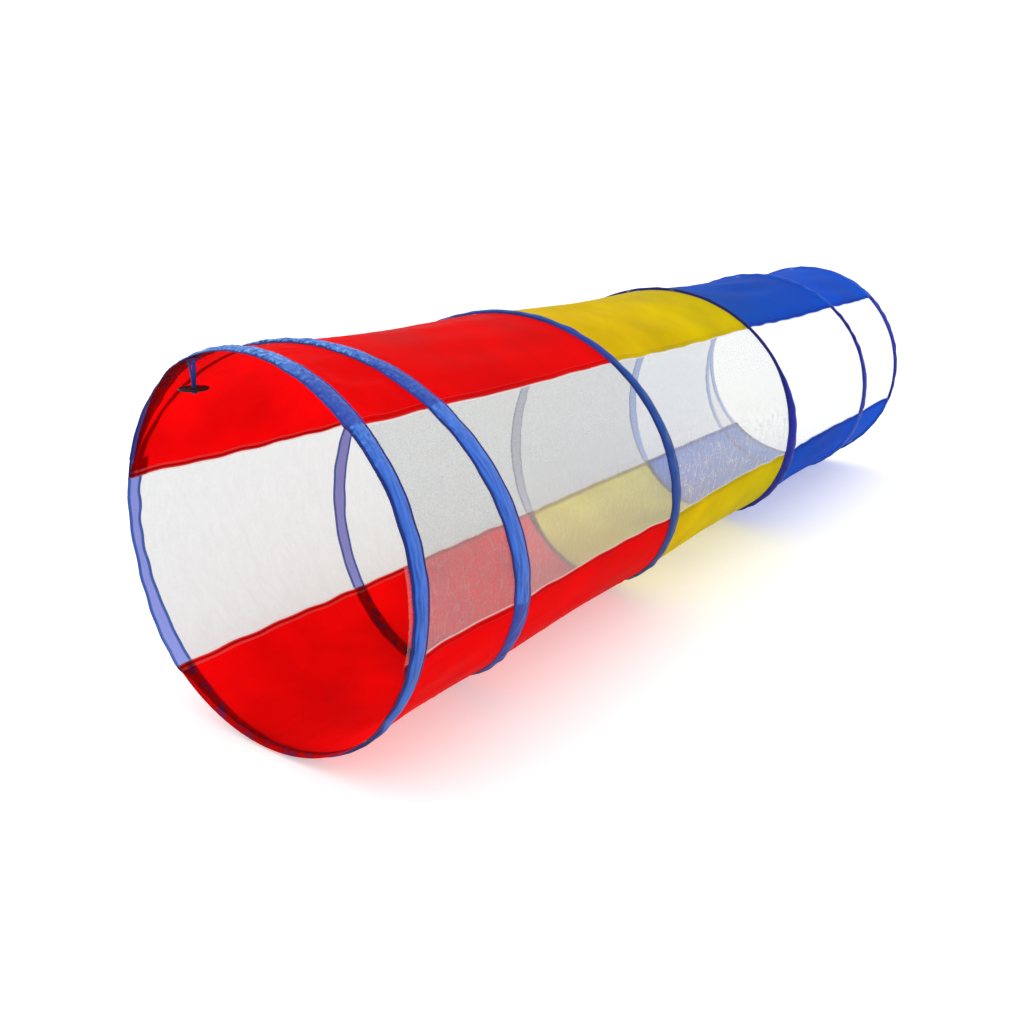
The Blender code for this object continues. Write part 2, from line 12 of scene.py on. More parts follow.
import bmesh
import bpy
import numpy as np
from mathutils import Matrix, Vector


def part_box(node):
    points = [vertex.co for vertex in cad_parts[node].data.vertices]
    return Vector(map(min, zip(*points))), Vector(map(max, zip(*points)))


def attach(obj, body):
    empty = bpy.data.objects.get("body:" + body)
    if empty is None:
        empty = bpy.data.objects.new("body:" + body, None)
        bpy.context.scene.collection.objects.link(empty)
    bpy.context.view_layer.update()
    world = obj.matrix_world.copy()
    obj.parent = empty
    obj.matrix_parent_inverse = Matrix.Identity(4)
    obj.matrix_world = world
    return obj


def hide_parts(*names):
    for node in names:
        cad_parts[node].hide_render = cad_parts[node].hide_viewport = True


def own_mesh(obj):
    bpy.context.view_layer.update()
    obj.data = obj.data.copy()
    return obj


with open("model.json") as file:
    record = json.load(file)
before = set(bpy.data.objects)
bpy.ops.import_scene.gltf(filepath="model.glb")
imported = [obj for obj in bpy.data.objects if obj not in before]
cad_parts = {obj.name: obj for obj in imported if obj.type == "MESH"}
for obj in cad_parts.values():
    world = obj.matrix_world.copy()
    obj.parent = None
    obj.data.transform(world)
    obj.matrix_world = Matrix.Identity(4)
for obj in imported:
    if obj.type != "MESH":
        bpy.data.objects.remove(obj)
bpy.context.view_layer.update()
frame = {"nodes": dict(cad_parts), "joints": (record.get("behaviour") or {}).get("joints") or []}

bl_info = {
    "name": "Kids Play Tunnel",
    "version": (1, 0, 0),
    "blender": (4, 5, 0),
    "location": "View3D > Sidebar > Play Tunnel",
    "description": "Makes the cloth, mesh, casings, wire, closure and stage of a play tunnel",
    "category": "Object",
}

# Angles, in degrees
FULL_TURN = 360.0
HALF_TURN = FULL_TURN / 2
WINDOW_SPAN = 62.6
WINDOW_TILT = 16.2
PANEL_SPAN = HALF_TURN - WINDOW_SPAN
START_ANGLE = -(PANEL_SPAN / 2 + WINDOW_TILT)
TOP_END = PANEL_SPAN
NEAR_WINDOW_END = HALF_TURN
BOTTOM_END = HALF_TURN + PANEL_SPAN

# The wire's course: its turns, and how far along it gets in each half turn
TURNS = 4
HALF_TURN_SHARES = (0.109, 0.109, 0.120, 0.159, 0.113, 0.156, 0.104, 0.130)
WIRE_END = TURNS * FULL_TURN

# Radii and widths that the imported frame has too, in metres
CLOTH_RADIUS = 0.2375
GAP = 0.0003
WIRE_RADIUS = 0.00125
CASING_WIDTH = 0.028
CASING_BASE = CLOTH_RADIUS + GAP
WIRE_SPACING = 0.005255
WIRE_CENTRE = 0.24015
CASING_TOP = 0.24263
JUNCTION_SPAN = 6.079
SHIFT_SPAN = 4 * JUNCTION_SPAN

# Places that the frame gives
NEAR_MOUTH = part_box("near_end_casing")[0].x
FAR_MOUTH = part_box("far_end_casing")[1].x
NEAR_LOOP = NEAR_MOUTH + CASING_WIDTH / 2
FAR_LOOP = FAR_MOUTH - CASING_WIDTH / 2
AXIS_HEIGHT = (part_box("near_end_casing")[0].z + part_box("near_end_casing")[1].z) / 2
JOINTS = {joint["name"]: joint for joint in frame["joints"]}

# The bodies that carry each strip of cloth and each turn's casing, and the cloth of each strip
STRIP_BODIES = ("near_end", "near_end", "second_turn", "third_turn", "fourth_turn")
TURN_BODIES = ("near_end", "second_turn", "third_turn", "fourth_turn")
STRIP_CLOTHS = ("red", "red", "yellow", "blue", "blue")

# How pale the lower part of each strip's windows looks, and the inner side of each cloth: a lighter copy
# of its colour, painted light inside the tunnel
WINDOW_VEILS = (0.0, 0.55, 1.0, 0.0, 0.0)
LIT_INNER_CLOTHS = {
    "red": (0.92, 0.002, 0.003),
    "yellow": (1.0, 0.86, 0.14),
    "blue": (0.08, 0.28, 0.82),
}

# How full a casing is along the wire: angles in degrees, and shares of its whole width
FULLNESS_ANGLES = (
    -230, -165, -159, -152, -144, -100, -62, -38, -25, -12, -2, 20, 50, 90, 165, 195, 215, 232, 252,
    285, 310, 345, 390, 435, 480, 520, 560, 580, 600, 640, 665, 690, 712, 745, 780, 855, 872, 890,
    915, 932, 950, 1010, 1040, 1075, 1100, 1130, 1215, 1240, 1290, 1325, 1345, 1430, 1520, 1545, 1575,
    1600, 1625, 1700, 1800,
)
FULLNESS_SHARES = (
    1.0, 1.1, 0.8, 0.4, 0.2, 0.22, 0.60, 0.70, 0.66, 0.56, 0.5, 0.2, 0.4, 1.05, 1.15, 1.22, 0.85, 0.45,
    0.75, 0.85, 0.8, 1.0, 0.75, 0.6, 0.72, 1.0, 1.08, 0.8, 0.45, 0.42, 0.9, 1.2, 1.1, 0.5, 0.17, 0.17,
    0.7, 1.1, 1.15, 0.85, 0.45, 0.55, 1.15, 1.2, 0.6, 0.32, 0.45, 0.95, 1.1, 0.9, 0.45, 0.6, 0.45, 0.8,
    1.1, 0.8, 0.35, 0.35, 0.7,
)

# The rows of a folded hem: their distance from the seam, and their depth as a share of the hem
HEM_INSETS = (0.0, 0.0008, 0.002, 0.004, 0.006, 0.0076, 0.0082, 0.0088, 0.0095)
HEM_FLAP_DEPTHS = (0.9, 1.0, 1.0, 1.0, 1.0, 0.9, 0.68, 0.9, 1.0)
HEM_OUTER_DEPTHS = (0.1, 0.0, 0.0, 0.0, 0.0, 0.1, 0.32, 0.1, 0.0)

# From a panel's edge to its stitches, the folded edge of the mesh, and its depth in the hem
STITCH_ROOM = 0.0082
FOLDED_MESH = 0.0026
TUCKED_MESH = 0.0076

# The cloth's folds: their lengths around and along the tunnel, a crease's width, the distance
# between puckers at both edges, and the cloth that lies flat beside a casing before they start
BROAD_FOLDS = (0.085, 0.45)
FINE_CREASES = (0.11, 0.16)
CREASE_WIDTH = 0.16
NEAR_PUCKERS = 0.019
FAR_PUCKERS = 0.021
FLAT_BESIDE = 0.005
FOLD_FADE = 0.025
PUCKER_FADE = 0.008
SEWN_REACH = 0.010

# The ripples of the mesh: their height, and their lengths around and along the tunnel
RIPPLE_HEIGHT = 0.0006
RIPPLES = (0.03, 0.14)

# The painted shade under a casing: how it fades, how wide it is at a mouth, over the tunnel
# and more under it, and how far in a mouth's own shade counts
SHADE_FADE = 0.004
MOUTH_SHADE = 0.011
LOW_MOUTH_SHADE = 0.006
MOUTH_REACH = 0.10

# The gap between two strips, and how far the cloth lifts where it is sewn, keeps off the ground
# and draws in under the near ferrule
SEAM_GAP = 0.00002
SEWN_LIFT = 0.0002
GROUND_ROOM = 0.0002
FERRULE_ROOM = 0.0008

# The near mouth: how far inside it its casing ends, and where that has rolled back, how far
# inside it the casing ends and how far past it the cloth does
RIM_INSET = -0.0012
RIM_SHOWING = 0.0027
RIM_OVERHANG = 0.0024

# How far the near mouth's edge draws back on the side at +Y, and its cloth more on the upper side
RIM_BACK = 0.0075
RIM_CLOTH_BACK = 0.0055

# A casing: points on each half of its section, distances between its rows, the columns of its
# outside for each of its lining's, that lining's height, and where the near lining's casings end
CASING_COLUMNS = 15
MOUTH_SPACING = 0.0014
CASING_SPACING = 0.0015
FAR_SPACING = 0.0024
CASING_LINING_STEP = 3
LINING_LIFT = 0.0001
LAST_NEAR_LINING = 430

# A casing's edge: the height of its waves where it is gathered, its slow bends, its rounding,
# its groove of stitches and its thinnest cloth
EDGE_WAVES = 0.0008
LEFT_BENDS = 0.00035
RIGHT_BENDS = 0.00045
BEND_LENGTH = 0.055
EDGE_ROUNDING = 0.0006
GROOVE_DEPTH = 0.0003
GROOVE_WIDTH = 0.0007
SLOW_HEIGHT = 0.0004
THINNEST_CLOTH = 0.0004

# The patch over a ferrule: its rows, its columns, those for each of its lining's, and its bump
COVER_ROWS = 25
COVER_COLUMNS = 41
COVER_LINING_STEP = 8
COVER_RISE = 0.0033

# The wire: degrees between two rings of points, points in a ring, and room to merge doubles
WIRE_STEP = 2.5
WIRE_SIDES = 8
MERGE_DISTANCE = 0.000001

# The closure: half the tab's width, its cloth and its height, the two strands, the neck above
# the disc, the knot below it, and the disc's slot and the rows from there to its edge
TAB_HALF = 0.0072
TAB_THICKNESS = 0.00115
TAB_LIFT = 0.0009
STRAND_WIDTH = 0.0056
STRAND_THICKNESS = 0.0009
STRAND_SPREAD = 0.0046
STRAND_SINK = 0.0003
STRAND_PINCH = 0.0013
STRAND_BOW = (0.0012, 0.0016, 0)
STRAND_TWIST = 0.35
NECK_RISE = 0.0045
KNOT_DROP = 0.0012
KNOT_RADII = (0.0028, 0.0050, 0.0020)
SLOT_RADII = (0.0011, 0.0040)
DISC_SIDES = 96
DISC_PLACES = (0, 0.03, 0.12, 0.3, 0.55, 0.72, 0.8, 0.84, 0.9, 0.95, 0.985, 1.0)
DISC_HEIGHTS = (0.5, 0.72, 0.76, 0.74, 0.7, 0.7, 0.72, 0.86, 1.0, 0.96, 0.7, 0.25)
SMALL_SIDES = 32

# Threads, ribs and streaks in a metre, the length of a stitch, and a casing's row of stitches
THREADS_PER_METRE = 900.0
RIBS_PER_METRE = 1400
STREAKS_PER_METRE = (28.0, 330.0)
STITCH_LENGTH = 0.0032
CASING_STITCH_ROOM = 0.0033

# Colours that the finishes add to their own: painted shade under a casing and at a lining's edges,
# whiter mesh, and painted highlights and shade on a casing's crown and gathers
DEEP_SHADE = (0.02, 0.025, 0.13)
WHITER_MESH = (0.9, 0.9, 0.9)
CROWN_HIGHLIGHT = (0.16, 0.34, 0.95)
MIDDLE_CROWN_HIGHLIGHT = (0.03, 0.12, 0.52)
GATHER_LIGHT = (0.09, 0.30, 0.85)
GATHER_HIGHLIGHT = (0.25, 0.52, 0.95)
GATHER_SHADE = (0.01, 0.05, 0.30)
LINING_EDGE_SHADE = (0.02, 0.03, 0.25)

# A casing's lining: the depth of the painted navy shade at its edges, and the painted glow for the light
# that comes through it
LINING_LIGHTS = {"near": (0.95, (0.05, 0.32, 1.0), 0.25), "far": (0.4, (0.5, 0.66, 1.0), 0.30)}

# Where a casing stands off its wire in a loose fold: angles in degrees, and heights
LOOSE_ANGLES = (858, 878, 905, 925, 950)
LOOSE_HEIGHTS = (0.0, 0.005, 0.006, 0.004, 0.0)

# The camera, in the photograph's frame
CAMERA_AZIMUTH = -54.802
CAMERA_ELEVATION = 17.447
CAMERA_DISTANCE = 1.51901
CAMERA_TARGET = (-0.37922, 0.0, 0.17077)
CAMERA_FOCAL_PIXELS = 971.03
IMAGE_PIXELS = 1024
SENSOR_WIDTH = 36.0
CAMERA_NEAR = 0.01

# The light and the floor: the world's strength for the tunnel and for the camera, the sun's
# strength, width and place, and the floor's colour, glow for the camera and reach
WORLD_LIGHT = 1.04
WORLD_SEEN = 1.3
SUN_STRENGTH = 0.4
SUN_WIDTH = 70
SUN_PLACE = (-0.9, 0.3, 3.0)
WHITE = (1, 1, 1, 1)
FLOOR_COLOUR = (0.82, 0.82, 0.82, 1)
FLOOR_GLOW = 0.36
FLOOR_REACH = 30


def length_property(label, text, default):
    """A length in metres that a user can change."""
    return bpy.props.FloatProperty(
        name=label, description=text, default=default, min=0.0, precision=4, unit="LENGTH"
    )


def colour_property(label, text, default):
    """A colour that a user can change."""
    return bpy.props.FloatVectorProperty(
        name=label, description=text, default=default, size=3, min=0.0, max=1.0, subtype="COLOR"
    )


class TunnelSizes(bpy.types.PropertyGroup):
    """Sizes of the soft pieces."""

    row_spacing: length_property("Row spacing", "Distance between two rows of a sheet", 0.0042)
    column_spacing: length_property("Column spacing", "Distance between two columns of a sheet", 0.0046)
    hem_depth: length_property("Hem depth", "Depth of a folded hem", 0.0013)
    waist: length_property("Waist", "How far the cloth draws in between two turns", 0.004)
    fold_height: length_property("Fold height", "Height of the broad folds", 0.0018)
    pucker_height: length_property("Pucker height", "Height of the puckers at a casing", 0.0020)
    pucker_reach: length_property("Pucker reach", "How far the puckers run out", 0.030)
    seam_wander: length_property("Seam wander", "How far a seam strays from its line", 0.0006)
    flange_width: length_property("Flange width", "Flat edge of a casing outside its stitches", 0.0035)
    flange_cloth: length_property("Flange cloth", "Thickness of a casing's edge", 0.0012)
    gather_height: length_property("Gather height", "Height of the gathers on a casing", 0.0008)
    gather_length: length_property("Gather length", "Distance between two gathers", 0.0062)


class TunnelColours(bpy.types.PropertyGroup):
    """Colours of the cloth, casing, mesh and small pieces."""

    red: colour_property("Red cloth", "Cloth of the first two strips", (0.90, 0.002, 0.003))
    yellow: colour_property("Yellow cloth", "Cloth of the third strip", (0.82, 0.65, 0.001))
    blue: colour_property("Blue cloth", "Cloth of the last two strips", (0.008, 0.10, 0.62))
    casing: colour_property("Casing", "Cloth of the first casings", (0.045, 0.19, 0.76))
    # Painted shade: the casings look darker over the red cloth, where no light comes through them from
    # behind
    dim_casing: colour_property("Dim casing", "Casing over red cloth", (0.022, 0.05, 0.42))
    middle_casing: colour_property("Middle casing", "Casing of the second turn", (0.010, 0.078, 0.36))
    far_casing: colour_property("Far casing", "Cloth of the last casings", (0.016, 0.016, 0.44))
    # Partly the casings' folded edges, partly painted shade: this navy darkens their edges and the
    # streaks of their gathers
    casing_edge: colour_property("Casing edge", "Folded edges of the casings", (0.006, 0.016, 0.17))
    # The linings are pale: painted light for the light that comes through the casings
    lining: colour_property("Lining", "Inside of the casings", (0.33, 0.41, 0.95))
    far_lining: colour_property("Far lining", "Inside of the last casings", (0.62, 0.64, 0.95))
    mesh: colour_property("Mesh", "Threads of the windows", (0.44, 0.51, 0.52))
    # The mesh's inner side is a darker copy of its colour: painted shade inside the tunnel
    inner_mesh: colour_property("Mesh inside", "Inner side of the windows", (0.25, 0.32, 0.33))
    # The last windows' mesh is a paler copy of it: painted light
    pale_mesh: colour_property("Pale mesh", "Threads of the last windows", (0.80, 0.84, 0.85))
    ribbon: colour_property("Ribbon", "Ribbon of the closure", (0.006, 0.016, 0.15))
    steel: colour_property("Steel", "Wire and ferrules", (0.45, 0.46, 0.48))
    disc: colour_property("Disc", "Disc of the closure", (0.008, 0.008, 0.008))


def smooth_step(share):
    """0 below 0, 1 above 1, and between them the cubic that is level at both ends."""
    share = np.clip(share, 0, 1)
    return share * share * (3 - 2 * share)


def band(value, start, start_fade, end, end_fade):
    """1 between two values and 0 outside them: each end fades inwards over its own length."""
    return smooth_step((value - start) / start_fade) * smooth_step((end - value) / end_fade)


def from_top(angle):
    """How far an angle is from the top of the tube: above 0 on the side at -Y, below 0 at +Y."""
    return (angle + START_ANGLE + HALF_TURN) % FULL_TURN - HALF_TURN


def smooth_through(at, places, values):
    """A curve through values at places: cubics whose slopes there are the neighbours' slope."""
    slopes = np.gradient(values, places)
    left = np.clip(np.searchsorted(places, at, side="right") - 1, 0, len(places) - 2)
    width = places[left + 1] - places[left]
    share = (at - places[left]) / width
    rise = values[left + 1] - values[left]
    start_pull = slopes[left] * width - rise
    end_pull = rise - slopes[left + 1] * width
    bend = share * (1 - share) * (start_pull * (1 - share) + end_pull * share)
    return values[left] + share * rise + bend


def wire_x(angle):
    """Where the wire is along the tunnel.

    Below angle 0 it is the near loop, past the last turn the far loop, and between them the
    smooth curve through the places that the half-turn shares give.
    """
    angle = np.asarray(angle, float)
    places = np.arange(2 * TURNS + 1) * HALF_TURN
    places[0] = JUNCTION_SPAN
    places[-1] = WIRE_END - JUNCTION_SPAN
    along = np.cumsum((0, *HALF_TURN_SHARES)) / sum(HALF_TURN_SHARES)
    values = NEAR_LOOP + along * (FAR_LOOP - NEAR_LOOP)
    values[0] = NEAR_LOOP + WIRE_SPACING
    values[-1] = FAR_LOOP - WIRE_SPACING
    helix = smooth_through(np.clip(angle, places[0], places[-1]), places, values)
    near = NEAR_LOOP + WIRE_SPACING * smooth_step((angle + SHIFT_SPAN) / SHIFT_SPAN)
    far = FAR_LOOP - WIRE_SPACING * smooth_step((WIRE_END + SHIFT_SPAN - angle) / SHIFT_SPAN)
    return np.where(angle < places[0], near, np.where(angle > places[-1], far, helix))


def tube_point(x, radius, angle):
    """The point at x, at a radius from the axis and an angle from the start seam."""
    turned = np.radians(np.asarray(angle, float) + START_ANGLE)
    x, radius, turned = np.broadcast_arrays(x, radius, turned)
    return np.stack([x, -radius * np.sin(turned), AXIS_HEIGHT + radius * np.cos(turned)], axis=-1)


def above_ground(points):
    """The points, with those that would sink into the ground raised to it."""
    raised = points.copy()
    raised[..., 2] = np.maximum(raised[..., 2], GROUND_ROOM)
    return raised


def arc_length(angle):
    """The length around the cloth of an angle."""
    return CLOTH_RADIUS * np.radians(angle)


def arc_angle(length):
    """The angle that a length around the cloth takes up."""
    return np.degrees(np.asarray(length) / CLOTH_RADIUS)


def waves(first, second, first_length, second_length, seed, count=14):
    """A field of folds: plane waves added up, with lengths near the given ones and seeded phases.

    Its mean is 0 and its root mean square is 1.
    """
    dice = np.random.default_rng(seed)
    total = np.zeros(np.broadcast(first, second).shape)
    for _ in range(count):
        first_rate = 2 * math.pi / first_length * dice.uniform(0.45, 1.5)
        second_rate = 2 * math.pi / second_length * dice.uniform(-1.4, 1.4)
        phase = dice.uniform(0, 2 * math.pi)
        total = total + np.cos(first_rate * first + second_rate * second + phase)
    return total * math.sqrt(2 / count)


def puckers(around, out, reach, length, seed):
    """Ridges square to a seam: the positive half of a cosine whose phase wanders.

    They die away over their reach.  A second field of waves makes some
    long and others short.
    """
    drift = waves(around, out, 5 * length, 12 * length, seed)
    phase = 2 * math.pi * around / length + 1.8 * drift
    ridge = np.maximum(0, np.cos(phase)) ** 1.5
    strength = 0.5 + 0.5 * np.tanh(waves(around, 0 * out, 3.3 * length, 1, seed + 1))
    fade = np.exp(-np.maximum(out, 0) / (reach * (0.3 + strength)))
    return ridge * strength * fade


def relief(turned, x, near, far, sizes):
    """How far the cloth of a strip stands out from the plain tube, in metres.

    It is a half sine that draws the cloth in between two casings, plus broad folds
    that run along the tunnel, fine creases where a field of waves crosses 0, and puckers beside
    the casings.  The length turned goes on growing from strip to strip, so that the cloth is
    in one piece across the start seam.
    """
    room = np.maximum(far - near - CASING_WIDTH, 0.001)
    middle = np.sin(np.pi * np.clip((x - near - CASING_WIDTH / 2) / room, 0, 1))
    widest = (FAR_LOOP - NEAR_LOOP) / TURNS - CASING_WIDTH
    draw_in = -sizes.waist * np.minimum(1, room / widest) * middle
    near_out = x - near - CASING_WIDTH / 2
    far_out = far - x - CASING_WIDTH / 2
    out = np.minimum(near_out, far_out)
    clear = smooth_step((out - FLAT_BESIDE) / FOLD_FADE)
    broad = waves(turned, x, *BROAD_FOLDS, 1)
    crease_field = waves(turned, x, *FINE_CREASES, 2)
    crease = np.exp(-((crease_field / CREASE_WIDTH) ** 2)) * (0.5 + 0.5 * np.tanh(broad))
    folds = sizes.fold_height * (0.6 * broad * middle + 0.35 * crease)
    near_puckers = puckers(turned, near_out, sizes.pucker_reach, NEAR_PUCKERS, 3)
    far_puckers = puckers(turned, far_out, sizes.pucker_reach, FAR_PUCKERS, 5)
    beside = smooth_step((out - FLAT_BESIDE) / PUCKER_FADE)
    held = SEWN_LIFT * smooth_step((SEWN_REACH - out) / PUCKER_FADE)
    raised = sizes.pucker_height * beside * (near_puckers + far_puckers)
    return held + draw_in + clear * folds + raised


def mesh_object(name, points, faces, uv=None, fields=None):
    """A smooth-shaded mesh object from points and faces.

    The uv gives each point its place on the flat cloth in metres, and each field is a value for
    each point that a material can read by its name.
    """
    mesh = bpy.data.meshes.new(name)
    mesh.from_pydata(points.reshape(-1, 3).tolist(), [], faces)
    mesh.shade_smooth()
    mesh.set_sharp_from_angle(angle=math.radians(60))
    corners = np.zeros(len(mesh.loops), int)
    mesh.loops.foreach_get("vertex_index", corners)
    if uv is not None:
        layer = mesh.uv_layers.new(name="cloth")
        layer.data.foreach_set("uv", uv.reshape(-1, 2)[corners].ravel())
    for label, values in (fields or {}).items():
        attribute = mesh.attributes.new(label, "FLOAT", "POINT")
        attribute.data.foreach_set("value", np.asarray(values, np.float32).ravel())
    thing = bpy.data.objects.new(name, mesh)
    bpy.context.scene.collection.objects.link(thing)
    return thing


def grid_faces(rows, columns, wrap=False, caps=False, gaps=()):
    """The cells of a grid of points, whose columns may close on themselves and have end faces.

    No cells follow the rows named as gaps.
    """
    across = columns if wrap else columns - 1
    kept = np.setdiff1d(np.arange(rows - 1), gaps)
    row, column = np.meshgrid(kept, np.arange(across), indexing="ij")
    after = (column + 1) % columns
    here = row * columns
    there = here + columns
    cells = np.stack([here + column, there + column, there + after, here + after], axis=-1)
    faces = cells.reshape(-1, 4).tolist()
    if caps:
        first = np.arange(columns)
        faces.append(first.tolist())
        faces.append((first[::-1] + (rows - 1) * columns).tolist())
    return faces


def rim_bulge(angle):
    """How far the casing of the near mouth has rolled back: 1 on the side at -Y, else 0."""
    return band(from_top(angle), 35, 25, 135, 20)


def rim_lift(angle):
    """Where the near mouth's casing stands past the cloth: 1 on the upper side at +Y, else 0."""
    return band(from_top(angle), -76, 10, -38, 16)


def rim_back(angle):
    """How far the near mouth's edge draws back: 1 on the side at +Y, else 0."""
    return band(from_top(angle), -135, 35, -26, 14)


def wire_edges(strip, angle):
    """The x of the wire on both sides of a strip, at an angle on that strip."""
    return wire_x(angle + FULL_TURN * (strip - 1)), wire_x(angle + FULL_TURN * strip)


def strip_edges(strip, angle):
    """The x of both edges of a strip: the wire of one turn and of the next, or a mouth."""
    near, far = wire_edges(strip, angle)
    if strip == 0:
        drawn_back = RIM_BACK * rim_back(angle) + RIM_CLOTH_BACK * rim_lift(angle)
        near = NEAR_MOUTH - RIM_OVERHANG * rim_bulge(angle) + drawn_back
    if strip == TURNS:
        far = np.full_like(angle, FAR_MOUTH)
    return near + SEAM_GAP / 2, far - SEAM_GAP / 2


def seam_shift(x, seam, sizes):
    """How far a seam strays around the tube from its line, in metres."""
    return sizes.seam_wander * waves(x, 0 * x, 0.09, 1, int(seam % FULL_TURN) + 1)


def strip_columns(strip, rows, spacing):
    """The x of each point of a strip, in columns that divide it evenly from edge to edge."""
    near, far = strip_edges(strip, rows)
    all_near, all_far = strip_edges(strip, np.linspace(0, FULL_TURN, 200))
    count = math.ceil((all_far - all_near).max() / spacing)
    share = np.linspace(0, 1, count + 1)
    return near[:, None] + (far - near)[:, None] * share


def seam_wander(x, rows, start, end, sizes):
    """The angle by which rows near a seam follow that seam's own wander."""
    fade = arc_angle(0.04)
    from_start = smooth_step(1 - (rows - start) / fade)[:, None]
    from_end = smooth_step(1 - (end - rows) / fade)[:, None]
    shift = from_start * seam_shift(x, start, sizes) + from_end * seam_shift(x, end, sizes)
    return arc_angle(shift)


def cut_size(strip, start, end):
    """The flat cut of a panel: its width around, its length along and its area."""
    angle = np.linspace(start, end, 200)
    near, far = strip_edges(strip, angle)
    around = float(arc_length(end - start))
    along = float(far.max() - near.min())
    return (around, along), float((far - near).mean() * around)


def casing_room(x, strip, rows, sizes):
    """How far a point of the cloth lies outside the nearest casing, in metres."""
    near_angle = rows[:, None] + FULL_TURN * (strip - 1)
    far_angle = rows[:, None] + FULL_TURN * strip
    near_edge = wire_x(near_angle) + half_widths(near_angle, sizes)[1]
    far_edge = wire_x(far_angle) - half_widths(far_angle, sizes)[0]
    return np.minimum(x - near_edge, far_edge - x)


def covered(x, strip, rows, sizes):
    """How strong the painted shade under a casing is: 1 well inside its edges, and 0 outside them.

    Near a mouth only the mouth's own edge is dark.
    """
    under = smooth_step(-casing_room(x, strip, rows, sizes) / SHADE_FADE)
    drawn_back = RIM_BACK * rim_back(rows)[:, None]
    from_mouth = np.minimum(x - NEAR_MOUTH - drawn_back, FAR_MOUTH - x)
    wide = MOUTH_SHADE + LOW_MOUTH_SHADE * smooth_step((rows[:, None] - HALF_TURN) / 60)
    faded = smooth_step((from_mouth - wide) / 0.006) * (from_mouth < MOUTH_REACH)
    return under * (1 - 0.95 * faded)


def under_ferrule(x, rows):
    """1 where the cloth draws in under the near ferrule, and 0 elsewhere."""
    beside = smooth_step((JUNCTION_SPAN + 2 - rows[:, None]) / 2)
    return beside * smooth_step((0.018 - np.abs(x - NEAR_LOOP - WIRE_SPACING / 2)) / 0.006)


def hem_rows(seam, inward):
    """The angles of a hem's rows, from the seam to the hem's end on the panel's side."""
    return seam + inward * arc_angle(HEM_INSETS)


def build_panel(strip, label, start, end, sizes):
    """A coloured panel: one sheet with a facing sewn under each of its long edges.

    Its radius is the tube's plus the relief, less the depth of each row in its hem.
    """
    low_hem = hem_rows(start, 1)
    high_hem = hem_rows(end, -1)
    count = round(float(arc_length(high_hem[-1] - low_hem[-1])) / sizes.row_spacing)
    middle = np.linspace(low_hem[-1], high_hem[-1], count + 1)[1:-1]
    rows = np.concatenate([low_hem, low_hem, middle, high_hem[::-1], high_hem[::-1]])
    outer = np.array(HEM_OUTER_DEPTHS)
    flap = np.array(HEM_FLAP_DEPTHS)
    depth = np.concatenate([flap, outer, 0 * middle, outer[::-1], flap[::-1]])
    facing = np.concatenate([0 * flap + 1, 0 * outer, 0 * middle, 0 * outer, 0 * flap + 1])
    room = arc_length(np.minimum(rows - start, end - rows))
    x = strip_columns(strip, rows, sizes.column_spacing)
    angle = rows[:, None] + seam_wander(x, rows, start, end, sizes)
    around = arc_length(angle)
    near, far = wire_edges(strip, rows[:, None])
    lift = relief(arc_length(angle + FULL_TURN * strip), x, near, far, sizes)
    radius = CLOTH_RADIUS + lift - sizes.hem_depth * depth[:, None]
    radius = radius - FERRULE_ROOM * under_ferrule(x, rows)
    fields = {
        "seam_room": room[:, None] + 0 * x,
        "facing": facing[:, None] + 0 * x,
        # painted shade on the cloth where a casing lies over it
        "covered": covered(x, strip, rows, sizes),
    }
    name = f"strip_{strip + 1}_{label}_cloth"
    uv = np.stack([around, x], axis=-1)
    points = above_ground(tube_point(x, radius, angle))
    gaps = (len(flap) - 1, len(rows) - len(flap) - 1)
    thing = mesh_object(name, points, grid_faces(*x.shape, gaps=gaps), uv, fields)
    colour = STRIP_CLOTHS[strip]
    give_material(thing, f"{colour}_satin", paint_cloth, colour)
    dress_strip(thing, strip, f"strip_{strip + 1}_{label}_panel")
    declare_cloth(strip, start, end)


